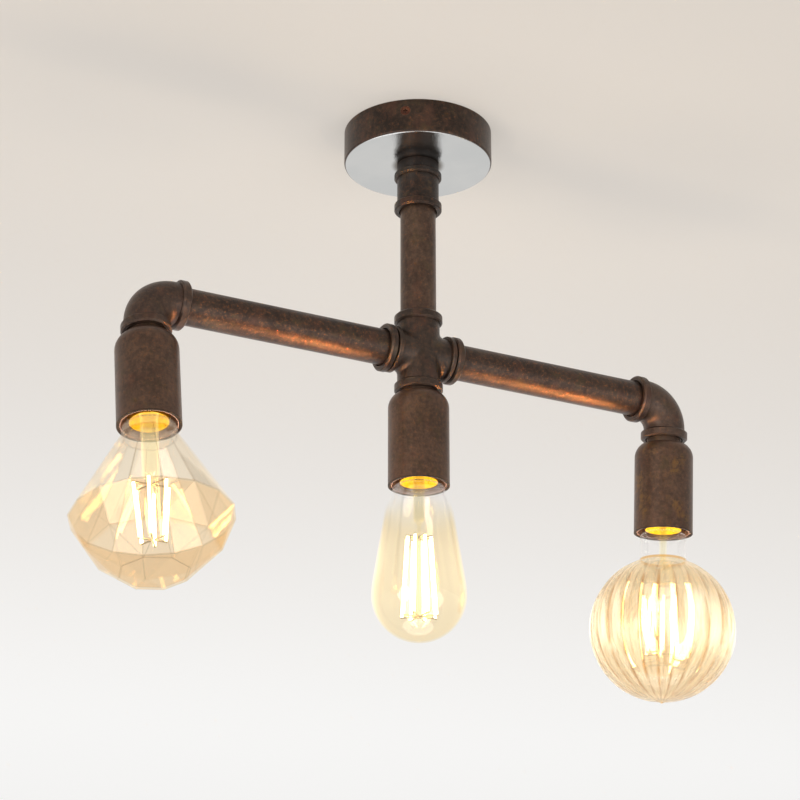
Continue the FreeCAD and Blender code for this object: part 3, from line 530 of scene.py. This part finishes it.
cap_yellow = {bulb: cap_metal(bulb) for bulb in BULBS}
print("light in the caps:", cap_light)

# %% [markdown]
# Bulb glass is blown so thin that it hardly bends the light. So each surface is mostly a clear shader
# that tints what shows through it, mixed with a gloss that grows towards the outline. A refracting
# shader on both sides of such a wall would bend the filaments into ghosts that the real glass
# doesn't show.


# %% Clear walls
def see_through(graph, tint):
    """Clear shader for one surface. Light crosses both surfaces of a wall, so each takes the root."""
    root = [math.sqrt(value) for value in tint]
    return graph.node("ShaderNodeBsdfTransparent", {}, {"Color": (*root, 1.0)})


def mixed(graph, share, first, second):
    """Two shaders in one, where share is the part of the second."""
    return graph.node("ShaderNodeMixShader", {}, {0: share, 1: first, 2: second})


def own_shader(graph, shader):
    """The Principled shader's result, ready to be mixed."""
    return Wire(graph.tree, shader.outputs["BSDF"])


def show(graph, result):
    """Put a shader on the surface."""
    graph.tree.links.new(result.socket, graph.tree.nodes["Material Output"].inputs["Surface"])


def gloss_share(graph, least, most):
    """Share of light that a thin sheet mirrors, from face on to the outline."""
    facing = graph.node("ShaderNodeLayerWeight", {}, {"Blend": 0.5}, "Facing")
    return (least + (most - least) * graph.math("POWER", facing, 4.0)).clamp()


print("a wall that lets half the light through lets", round(math.sqrt(0.5), 2), "through each surface")

# %% [markdown]
# A faint amber coat lies in the glass from below the neck. On the diamond it gets deeper at the
# girdle and paler again at the flat table. The glass is thicker, and its colour deeper, along the
# facets' edges and in the grooves between the globe's ribs. It also scatters some of the filaments'
# light, and an uneven emission, strongest level with them, stands for that.

# %% Coat, lines and haze of the glass
coats = {
    "diamond": [(-0.002, 0.004, (1.0, 0.955, 0.87)), (0.0640, 0.0670, (0.955, 0.785, 0.57)),
                (0.0865, 0.0900, (0.975, 0.865, 0.70))],
    "pear": [(0.010, 0.030, (1.0, 0.935, 0.785))],
    "globe": [(0.0188, 0.0194, (0.93, 0.62, 0.30)), (0.0202, 0.0212, (0.98, 0.87, 0.68))]}
line_tints = {"diamond": (0.50, 0.38, 0.26), "pear": (0.90, 0.80, 0.66), "globe": (0.72, 0.46, 0.24)}
rib_counts = {"diamond": 0, "pear": 0, "globe": 24}
haze_depths = {"diamond": (0.036, 0.092), "pear": (0.034, 0.094), "globe": (0.050, 0.088)}
haze_power = {"diamond": 0.22, "pear": 0.65, "globe": 0.74}


def coated(graph, depth, coat):
    """Clear shader and colour that take on each tint of the coat from its depth on."""
    body = see_through(graph, (1.0, 1.0, 1.0))
    colour = WHITE
    for start, end, tint in coat:
        reached = depth.between(start, end)
        body = mixed(graph, reached, body, see_through(graph, tint))
        colour = reached.blend(colour, (*tint, 1.0))
    return body, colour


def grooves(graph, bulb, count):
    """1 along the lines between a bulb's ribs, and 0 on the ribs."""
    angle = graph.math("ARCTAN2", along(graph, bulb, 1), along(graph, bulb, 0))
    return (0.0 - graph.math("COSINE", angle * count)).between(0.55, 1.0)


def beside_sticks(depth, levels):
    """1 level with the middle of the filaments, and a soft fall to 0 above and below them."""
    top, bottom = levels
    middle = (top + bottom) / 2
    half = (bottom - top) / 2
    return 1.0 - abs((depth - middle) / half).between(0.2, 1.5)


for bulb in BULBS:
    print("glass of the", bulb, "bulb: tints", len(coats[bulb]), "and ribs", rib_counts[bulb])

# %% [markdown]
# Only the ribs of the globe bend the light enough to smear the sticks. So below its neck a part of
# its glass is a refracting shader, and fine upright strands break up its grooves and its haze. The
# diamond gets lines on its edges instead. Its facets meet at shallow angles, so the mask of the
# edges needs cosines near 1. The same mask leaves the smooth pear plain, because it has no edges.

# %% Bulb glass
warm_haze = (1.0, 0.84, 0.58, 1.0)
bright_haze = (1.0, 0.95, 0.80, 1.0)
faint_haze = (0.07, 0.05, 0.03, 1.0)
edges_start = (0.003, 0.010)
grooves_start = (0.030, 0.044)
bending_starts = (0.020, 0.040)
bending_share = 0.45


def bulb_glass(bulb):
    """Glass of one bulb, from the tables of coats, tints, ribs and haze."""
    ribs = rib_counts[bulb]
    bends = 1.0 if ribs else 0.0
    material, graph, shader = new_finish(bulb + "_amber_glass", Transmission_Weight=bends, IOR=1.45,
                                         Metallic=1.0 - bends, Emission_Strength=haze_power[bulb])
    depth = below_mouth(graph, bulb)
    body, colour = coated(graph, depth, coats[bulb])
    streaks = clouds(graph, 26.0, 3.0, 0.55, (1.0, 1.0, 0.25))
    haze = beside_sticks(depth, haze_depths[bulb]) * (0.45 + 0.55 * streaks.between(0.42, 0.60))
    unlit = BLACK
    lit = warm_haze
    mirrored = gloss_share(graph, least=0.07, most=0.45)
    if ribs:
        strands = clouds(graph, 135.0, 2.0, 0.5, (1.0, 1.0, 0.08)).between(0.46, 0.55)
        lines = grooves(graph, bulb, ribs) * depth.between(*grooves_start) * (1.0 - 0.7 * strands)
        colour = lines.blend(colour, (*line_tints[bulb], 1.0))
        haze = haze * (0.14 + 0.86 * strands)
        unlit = faint_haze
        lit = strands.blend(warm_haze, bright_haze)
        mirrored = (mirrored + bending_share * depth.between(*bending_starts)).clamp()
    else:
        lines = edge_lines(graph, 0.0010, sharp=0.975, flat=0.9995) * depth.between(*edges_start)
    body = mixed(graph, lines, body, see_through(graph, line_tints[bulb]))
    feed(colour, shader, "Base Color")
    feed(haze.blend(unlit, lit), shader, "Emission Color")
    feed((0.01 + 0.03 * streaks).clamp(), shader, "Roughness")
    bumps(graph, shader, clouds(graph, 45.0, 2.0, 0.5, (1.0, 1.0, 0.4)), 0.00010)
    show(graph, mixed(graph, mirrored, body, own_shader(graph, shader)))
    return material


amber_glass = {bulb: bulb_glass(bulb) for bulb in BULBS}
print("the globe's glass has", len(amber_glass["globe"].node_tree.nodes), "nodes")

# %% [markdown]
# The stem is a clear glass tube, melted flat where the wires pass through it. It stands in the
# filaments' light, so it glows a little along its whole length, and inside the cap it takes on the
# cap's yellow.

# %% Stem glass
stem_glow = {"diamond": 1.0, "pear": 0.25, "globe": 0.35}
cap_end_depths = (-0.004, 0.008)


def stem_glass(bulb):
    """Glass of the stem, yellow inside the cap and nearly clear below it."""
    material, graph, shader = new_finish(bulb + "_stem_glass", Metallic=1.0,
                                         Emission_Strength=stem_glow[bulb])
    cloud = clouds(graph, 120.0, 2.0)
    inside_cap = 1.0 - below_mouth(graph, bulb).between(*cap_end_depths)
    clear = see_through(graph, (1.0, 0.985, 0.90))
    yellow = see_through(graph, (1.0, 0.86, 0.45))
    body = mixed(graph, inside_cap, clear, yellow)
    feed(cloud.between(0.3, 0.7).blend((1.0, 0.94, 0.76, 1.0), (1.0, 0.97, 0.86, 1.0)), shader, "Base Color")
    feed(cloud.blend((1.0, 0.86, 0.42, 1.0), (1.0, 0.92, 0.60, 1.0)), shader, "Emission Color")
    feed((0.02 + 0.05 * cloud).clamp(), shader, "Roughness")
    mirrored = gloss_share(graph, least=0.08, most=0.5)
    show(graph, mixed(graph, mirrored, body, own_shader(graph, shader)))
    return material


clear_stem = {bulb: stem_glass(bulb) for bulb in BULBS}
print("light in the stems:", stem_glow)

# %% [markdown]
# The filaments are sticks with a yellow coat that glows. A camera set for the room sees them as
# white with a warm rim, which a strong emission gives by itself, because it clips in the middle.

# %% Glowing filaments
stick_power = {"diamond": 10.0, "pear": 10.0, "globe": 8.0}


def glowing_coat(bulb):
    """Yellow coat of the sticks, a little uneven in its light."""
    material, graph, shader = new_finish(bulb + "_filament_coat", Roughness=0.6,
                                         Emission_Strength=stick_power[bulb])
    grains = clouds(graph, 1500.0, 2.0)
    light = grains.between(0.3, 0.7).blend((1.0, 0.78, 0.36, 1.0), (1.0, 0.86, 0.52, 1.0))
    feed(light, shader, "Emission Color")
    feed(grains.blend(rgb(244, 214, 120), rgb(250, 232, 160)), shader, "Base Color")
    bumps(graph, shader, grains, 0.0001)
    return material


stick_coat = {bulb: glowing_coat(bulb) for bulb in BULBS}
print("light of the sticks:", stick_power)

# %% [markdown]
# Every solid of the frame now gets its finish. The names say what a piece is, so the table goes by
# the end of the name, and a name that nothing matches stops the script instead of staying grey. The
# glass throws no shadow, because a shadow through clear walls would render with much grain.

# %% Dress the frame
finishes = {
    "canopy": canopy_bronze, "ceiling_bracket": zinc, "canopy_side_screws": screw_bronze,
    "canopy_nipple": zinc, "nipple_washer": zinc, "canopy_locknut": zinc, "terminal_block": nylon,
    "block_screw": zinc, "earth_screw": brass, "top_coupling": shaded_coupling_bronze, "stem_tube": bronze,
    "cross_fitting": cast_bronze, "arm_tube": arm_bronze, "elbow": elbow_bronze,
    "holder_locknuts": zinc, "reducer_bush": bronze, "lampholder_body": phenolic,
    "screw_shell": brass, "centre_contact": brass, "leads": flex_skin, "cap_contact": brass,
    "cap_insulator": black_glass, "support_wires": nickel}
for bulb, side in zip(BULBS, SIDES):
    finishes[bulb + "_glass"] = amber_glass[bulb]
    finishes[bulb + "_glass_stem"] = clear_stem[bulb]
    finishes[bulb + "_cap"] = cap_yellow[bulb]
    finishes[bulb + "_filaments"] = stick_coat[bulb]
    finishes[side + "_lampholder_sleeve"] = sleeve_fibre[bulb]
    finishes[side + "_lampholder_cup"] = cup_bronze[bulb]


def finish_of(name):
    """The finish whose key is the longest end of the node's name."""
    fitting = [key for key in finishes if name == key or name.endswith("_" + key)]
    if not fitting:
        raise ValueError("no finish for " + name)
    return finishes[max(fitting, key=len)]


for name, piece in nodes.items():
    piece.data.materials.clear()
    piece.data.materials.append(finish_of(name))
for bulb in BULBS:
    nodes[bulb + "_glass"].visible_shadow = False
    nodes[bulb + "_glass_stem"].visible_shadow = False
print("dressed", len(nodes), "pieces with", len(set(finishes.values())), "finishes")

# %% [markdown]
# A bulb's cap and the socket that takes it are rolled from thin sheet, and their thread is a wave in
# the wall, so the inside shows the same thread as the outside. One function makes both. It takes the
# section of the sheet as a loop of points, each with its radius, its height and the height of the
# wave there, and turns it round the axis. The wave shifts with the angle, by one pitch a turn, and
# that makes the helix. A screw is made the same way, with a loop that starts and ends on its axis.

# %% Rolled threads
sharp_corner = math.radians(40)


def turned(name, section, pitch, around=64):
    """Mesh turned round Z from (radius, height, wave) points, with a right-handed thread."""
    maker = bmesh.new()
    rings = []
    for radius, height, wave in section:
        ring = []
        for step in range(around):
            angle = math.tau * step / around
            reach = radius + wave * math.cos(math.tau * height / pitch - angle)
            ring.append(maker.verts.new((reach * math.cos(angle), reach * math.sin(angle), height)))
        rings.append(ring)
    for lower, upper in zip(rings, rings[1:] + rings[:1]):
        for step in range(around):
            after = (step + 1) % around
            maker.faces.new((lower[step], lower[after], upper[after], upper[step]))
    bmesh.ops.remove_doubles(maker, verts=maker.verts, dist=1e-6)
    bmesh.ops.recalc_face_normals(maker, faces=maker.faces)
    mesh = bpy.data.meshes.new(name)
    maker.to_mesh(mesh)
    maker.free()
    mesh.polygons.foreach_set("use_smooth", [True] * len(mesh.polygons))
    mesh.set_sharp_from_angle(angle=sharp_corner)
    return mesh


def steps_between(start, end, step):
    """Even steps from start to end, both included."""
    count = max(1, round(abs(end - start) / step))
    return [start + (end - start) * index / count for index in range(count + 1)]


def taper(value, start, end, length):
    """1 between start and end, and a smooth fall to 0 over the given length at both."""
    inside = min(value - start, end - value) / length
    share = min(1.0, max(0.0, inside))
    return share * share * (3.0 - 2.0 * share)


def piece_from(name, mesh, finish, body, stands_for):
    """Object that rides a body of the frame and stands for one of its nodes."""
    piece = bpy.data.objects.new(name, mesh)
    bpy.context.scene.collection.objects.link(piece)
    mesh.materials.append(finish)
    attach(piece, body)
    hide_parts(stands_for)
    return piece


print("a ramp from 0 to 1 in steps of 0.25 has", len(steps_between(0.0, 1.0, 0.25)), "points")

# %% [markdown]
# These are the heights and radii of the medium screw cap, in a lamp's own frame. Beside the glass
# tail the wave is shallow, because the glass fills the cap there. The cap ends in a cone, turned in
# at the top to hold the insulator.

# %% Threaded cap
cap_pitch = 0.003629
crest = 0.0130
sheet = 0.00035
cap_foot = 0.0025
thread_heights = (0.0056, 0.0218)
wave_heights = (0.0058, 0.0216)
run_out = 0.0020
glass_top = 0.0152
beside_glass_radius = 0.01256
shallow_wave = 0.00020
deep_wave = 0.00045


def cap_wave(height):
    """Depth of the cap's thread at one height."""
    depth = shallow_wave if height < glass_top else deep_wave
    return depth * taper(height, *wave_heights, run_out)


def cap_section():
    """Section of the cap's sheet: up the outside, over the cone and down the inside."""
    outside = [(crest - 0.0002, cap_foot, 0.0), (crest, 0.0028, 0.0), (crest, 0.0052, 0.0)]
    inside = []
    for height in steps_between(*thread_heights, cap_pitch / 8):
        wave = cap_wave(height)
        outside.append((crest - wave, height, wave))
        if height < glass_top:
            inside.append((beside_glass_radius, height, 0.0))
        else:
            inside.append((crest - wave - sheet, height, wave))
    cone = [(crest - 0.0002, 0.0223, 0.0), (0.0110, 0.0249, 0.0), (0.0104, 0.0254, 0.0),
            (0.0101, 0.0252, 0.0), (0.0101, 0.0249, 0.0), (0.0107, 0.0246, 0.0), (0.0125, 0.0221, 0.0)]
    return outside + cone + inside[::-1] + [(beside_glass_radius, cap_foot, 0.0)]


print("the cap's section has", len(cap_section()), "points")

# %% [markdown]
# The socket is a shell with a hole in its roof for the centre contact. It follows the cap's wave
# with a little play, and since both waves come from one formula, they stay in mesh as a bulb is
# unscrewed.

# %% Threaded socket
socket_radius = 0.0131
socket_wave = 0.00035
shell_outside = socket_radius + 0.0004
socket_top = 0.0316
socket_bottom = 0.0078
roof_hole = 0.0090


def socket_section():
    """Section of the socket's sheet: over the roof, down the outside, round the lip and up the inside."""
    outside = [(roof_hole, 0.0327, 0.0), (0.0133, 0.0327, 0.0), (shell_outside, 0.0323, 0.0)]
    inside = []
    for height in steps_between(socket_top, socket_bottom, cap_pitch / 8):
        wave = socket_wave * taper(height, socket_bottom, socket_top, run_out)
        outside.append((shell_outside, height, wave))
        inside.append((socket_radius, height, wave))
    lip = [(0.0138, 0.0069, 0.0), (0.0138, 0.0067, 0.0), (0.0134, 0.0069, 0.0)]
    return outside + lip + inside[::-1] + [(0.0129, 0.0323, 0.0), (roof_hole, 0.0323, 0.0)]


for bulb, side in zip(BULBS, SIDES):
    for name, section, finish, body, slot in (
            (bulb + "_cap", cap_section(), cap_yellow[bulb], bulb + "_bulb", "gold_cap"),
            (side + "_screw_shell", socket_section(), brass, "fixture", "brass")):
        mesh = turned(name + "_rolled", section, cap_pitch)
        mesh.transform(lamps[bulb])
        piece_from(name + "_rolled", mesh, finish, body, name)
print("the socket's section has", len(socket_section()), "points")

# %% [markdown]
# The screws come as plain solids. The ones here have a thread and a recess for the screwdriver. Half
# an outline is turned, as for the cap: a flat or countersunk head, then a shank whose wave fades at
# both ends of the thread.


# %% Screw outline
def screw_section(head, head_height, shank, length, pitch, countersunk=False):
    """Half outline of a screw that points up, with its face at height 0."""
    edge = head_height * 0.3
    if countersunk:
        top = [(0.0, 0.0, 0.0), (head - 0.0001, 0.0, 0.0), (head, -0.0002, 0.0), (shank, -head_height, 0.0)]
    else:
        top = [(0.0, 0.0, 0.0), (head - edge, 0.0, 0.0), (head - edge * 0.3, -edge * 0.3, 0.0),
               (head, -edge, 0.0), (head, -head_height, 0.0), (shank, -head_height, 0.0)]
    depth = shank * 0.10
    thread_start = -head_height - pitch
    thread_end = -length + pitch / 2
    thread = []
    for height in steps_between(thread_start, thread_end, pitch / 6):
        wave = depth * taper(height, thread_end, thread_start, pitch)
        thread.append((shank - wave, height, wave))
    return top + thread + [(shank - depth, -length, 0.0), (0.0, -length, 0.0)]


side_pitch = 0.0007
side_screw = screw_section(head=0.00365, head_height=0.00165, shank=0.0020, length=0.0100,
                           pitch=side_pitch, countersunk=True)
print("a side screw's outline has", len(side_screw), "points")

# %% [markdown]
# A Boolean modifier cuts the recess from the turned head: a cross with sloping sides in the two side
# screws, and a straight slot in the earth screw and in the one that holds the terminal block. The
# cutter is a prism that stands a little above the face, so that no two faces lie in one plane.

# %% Recess for the screwdriver
above_face = 0.0004


def recess_prism(points, depth, shrink):
    """Closed cutter with a plan of corner points, sunk by depth, its floor shrunk by a factor."""
    maker = bmesh.new()
    above = [maker.verts.new((x, y, above_face)) for x, y in points]
    below = [maker.verts.new((x * shrink, y * shrink, -depth)) for x, y in points]
    maker.faces.new(above)
    maker.faces.new(below[::-1])
    for index in range(len(points)):
        after = (index + 1) % len(points)
        maker.faces.new((above[index], below[index], below[after], above[after]))
    bmesh.ops.recalc_face_normals(maker, faces=maker.faces)
    mesh = bpy.data.meshes.new("cutter")
    maker.to_mesh(mesh)
    maker.free()
    return mesh


def cross_plan(reach, half):
    """Corner points of a cross, half a bar's width from its middle lines."""
    return [(reach, -half), (reach, half), (half, half), (half, reach), (-half, reach), (-half, half),
            (-reach, half), (-reach, -half), (-half, -half), (-half, -reach), (half, -reach), (half, -half)]


def slot_plan(reach, half):
    """Corner points of a straight slot."""
    return [(reach, -half), (reach, half), (-reach, half), (-reach, -half)]


def cut(mesh, cutter):
    """The mesh with the cutter taken out of it."""
    bench = bpy.context.scene.collection.objects
    blank = bpy.data.objects.new("blank", mesh)
    tool = bpy.data.objects.new("tool", cutter)
    bench.link(blank)
    bench.link(tool)
    modifier = blank.modifiers.new("recess", "BOOLEAN")
    modifier.operation = "DIFFERENCE"
    modifier.solver = "EXACT"
    modifier.object = tool
    ready = bpy.context.evaluated_depsgraph_get()
    result = bpy.data.meshes.new_from_object(blank.evaluated_get(ready))
    bpy.data.objects.remove(blank)
    bpy.data.objects.remove(tool)
    result.set_sharp_from_angle(angle=sharp_corner)
    return result


print("a cross has", len(cross_plan(2.0, 0.5)), "corners, and a slot has", len(slot_plan(2.0, 0.5)))

# %% [markdown]
# The two side screws sit opposite each other in the canopy's wall. Their direction, height and reach
# are read from the solid that they stand for: its front half gives the direction, and the point
# that lies furthest out gives the face of the head. Both become one mesh, as they are one node.

# %% Side screws
screw_around = 40


def facing(place, outward):
    """Matrix that sets a screw's face at a place, looking outward."""
    return Matrix.Translation(place) @ Vector(outward).to_track_quat("Z", "Y").to_matrix().to_4x4()


def joined(name, meshes):
    """One mesh from several."""
    maker = bmesh.new()
    for mesh in meshes:
        maker.from_mesh(mesh)
    whole = bpy.data.meshes.new(name)
    maker.to_mesh(whole)
    maker.free()
    whole.set_sharp_from_angle(angle=sharp_corner)
    return whole


low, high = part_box("canopy_side_screws")
front = [point.co for point in nodes["canopy_side_screws"].data.vertices if point.co.y < 0]
middle = sum(front, Vector()) / len(front)
towards_room = Vector((middle.x, middle.y, 0.0)).normalized()
wall_reach = max(point.dot(towards_room) for point in front)
screw_height = (low.z + high.z) / 2
side_pair = []
for sign in (-1, 1):
    cross = recess_prism(cross_plan(reach=0.0021, half=0.00048), depth=0.0015, shrink=0.45)
    screw = cut(turned("side_screw", side_screw, side_pitch, screw_around), cross)
    outward = towards_room * sign
    screw.transform(facing(outward * wall_reach + Vector((0, 0, screw_height)), outward))
    side_pair.append(screw)
piece_from("canopy_side_screws_cross", joined("canopy_side_screws_cross", side_pair), screw_bronze,
           "fixture", "canopy_side_screws")
print("the side screws reach", round(wall_reach * 1000, 1), "mm from the stem's axis")

# %% [markdown]
# The heads of the earth screw and of the terminal block's screw look down, inside the canopy. Each
# screw is as wide and as long as its solid, and the slot runs right across its head.

# %% Slotted screws
for name, head_height, shank, pitch, slot_half, finish, slot in (
        ("earth_screw", 0.0026, 0.0020, 0.0007, 0.0005, brass, "brass"),
        ("block_screw", 0.0024, 0.0015, 0.0005, 0.0004, zinc, "zinc_steel")):
    low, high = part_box(name)
    head = (high.x - low.x) / 2
    length = high.z - low.z
    blank = turned(name, screw_section(head, head_height, shank, length, pitch), pitch, screw_around)
    slot_cutter = recess_prism(slot_plan(head * 1.2, slot_half), depth=head_height * 0.45, shrink=1.0)
    screw = cut(blank, slot_cutter)
    place = Vector(((low.x + high.x) / 2, (low.y + high.y) / 2, low.z))
    screw.transform(facing(place, (0, 0, -1)))
    piece_from(name + "_slotted", screw, finish, "fixture", name)
    print(name, "head", round(head * 2000, 2), "mm, length", round(length * 1000, 2), "mm")

# %% [markdown]
# The room is a pale ceiling and soft light. The ceiling takes the soft shadows that the bulbs throw
# of the arms. It shows only from below, so that the light can also be looked at from above: its
# back is clear. What the camera sees of it, straight or in gloss and glass, gets paler towards the
# back of the room: painted light, in its colour and in its emission. That brightness is an emission,
# so it needs no more light.


# %% Ceiling
def seen_by_eye(graph):
    """1 for rays that the camera sends, also through gloss and glass, and 0 for those of the light."""
    rays = [graph.node("ShaderNodeLightPath", {}, {}, kind)
            for kind in ("Is Camera Ray", "Is Glossy Ray", "Is Transmission Ray")]
    return (rays[0] + rays[1] + rays[2]).clamp()


into_room = (0.25, 0.98, 0.0)
near_and_far = (-0.35, 1.9)


def ceiling_finish():
    """Matt paint, a little uneven, that shows on its lower side only."""
    material, graph, shader = new_finish("painted_ceiling", Roughness=0.9, Emission_Strength=1.0)
    paint = clouds(graph, 5.0, 3.0)
    # Painted light: colour and emission grow paler towards the back of the room.
    far = dot(graph, place_of(graph), into_room).between(*near_and_far)
    colour = (far + 0.08 * (paint - 0.5)).clamp().blend((0.33, 0.31, 0.30, 1.0), (0.40, 0.40, 0.41, 1.0))
    feed(colour, shader, "Base Color")
    glow = far.blend((0.40, 0.37, 0.33, 1.0), (0.64, 0.64, 0.63, 1.0))
    feed(seen_by_eye(graph).blend(BLACK, glow), shader, "Emission Color")
    clear = graph.node("ShaderNodeBsdfTransparent")
    back = graph.node("ShaderNodeNewGeometry", {}, {}, "Backfacing")
    show(graph, mixed(graph, back, own_shader(graph, shader), clear))
    return material


def flat_panel(name, size, height):
    """Square panel that looks down, with sides of twice the size."""
    mesh = bpy.data.meshes.new(name)
    corners = [(-size, -size, height), (-size, size, height), (size, size, height), (size, -size, height)]
    mesh.from_pydata(corners, [], [(0, 1, 2, 3)])
    panel = bpy.data.objects.new(name, mesh)
    bpy.context.scene.collection.objects.link(panel)
    return panel


ceiling = flat_panel("ceiling", size=5.0, height=0.0004)
ceiling.data.materials.append(ceiling_finish())
print("ceiling faces", "down" if ceiling.data.polygons[0].normal.z < 0 else "up")

# %% [markdown]
# Daylight comes from large windows, and large lamps far away give its soft shadows. One stands to
# the left, one in front, and one shines up from below, like light that a floor throws back. The
# world fills in the rest, and what the camera sees of it is paler than the light that it gives.


# %% Room light
def soft_lamp(name, place, target, size, power, colour):
    """Round area lamp at a place, aimed at a target."""
    lamp = bpy.data.lights.new(name, "AREA")
    lamp.shape = "DISK"
    lamp.size = size
    lamp.energy = power
    lamp.color = colour
    holder = bpy.data.objects.new(name, lamp)
    holder.location = place
    holder.rotation_euler = (Vector(target) - Vector(place)).to_track_quat("-Z", "Y").to_euler()
    bpy.context.scene.collection.objects.link(holder)


soft_lamp("window_left", (-2.6, -1.2, -0.9), (0, 0, -0.2), 1.8, 26.0, (1.0, 0.98, 0.95))
soft_lamp("window_front", (0.9, -2.8, -1.6), (0, 0, -0.2), 2.2, 20.0, (1.0, 0.97, 0.93))
soft_lamp("room_below", (0.2, 0.6, -2.8), (0, 0, 0), 2.6, 22.0, (1.0, 0.98, 0.96))

world = bpy.data.worlds.new("pale_room")
bpy.context.scene.world = world
world.use_nodes = True
fill_strength = 0.40
extra_when_seen = 0.45
background = world.node_tree.nodes["Background"]
background.inputs["Color"].default_value = (1.0, 0.985, 0.96, 1.0)
feed(seen_by_eye(Wire(world.node_tree)) * extra_when_seen + fill_strength, background, "Strength")
print("the world lights with", fill_strength, "and shows as", round(fill_strength + extra_when_seen, 2))

# %% [markdown]
# The bulbs are lit, and they light the undersides of the arms, the inside of the cups and the ceiling.
# The glowing sticks are too thin to do that without grain, so each bulb also holds a soft ball lamp,
# which only matt surfaces show. A second one shows only in the gloss of the pipes. It is deeper in
# colour, and it draws the copper-coloured gleam along the lower half of each arm.


# %% Bulb light
def bulb_lamp(bulb, kind, power, colour, size):
    """Ball lamp in the middle of a bulb's filaments, which moves with the bulb."""
    low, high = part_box(bulb + "_filaments")
    lamp = bpy.data.lights.new(bulb + kind, "POINT")
    lamp.energy = power
    lamp.color = colour
    lamp.shadow_soft_size = size
    holder = bpy.data.objects.new(bulb + kind, lamp)
    holder.location = (low + high) / 2
    holder.visible_camera = False
    holder.visible_transmission = False
    bpy.context.scene.collection.objects.link(holder)
    holder.parent = frame["bodies"][bulb + "_bulb"]
    return holder


pipework = bpy.data.collections.new("pipework")
for name, piece in nodes.items():
    if name.endswith(("_tube", "_elbow", "cross_fitting", "_coupling", "_bush")):
        pipework.objects.link(piece)
for bulb in BULBS:
    matt = bulb_lamp(bulb, "_light", power=0.7, colour=(1.0, 0.80, 0.54), size=0.012)
    matt.visible_glossy = False
    gleam = bulb_lamp(bulb, "_gleam", power=4.4, colour=(1.0, 0.40, 0.12), size=0.014)
    gleam.visible_diffuse = False
    gleam.light_linking.receiver_collection = pipework
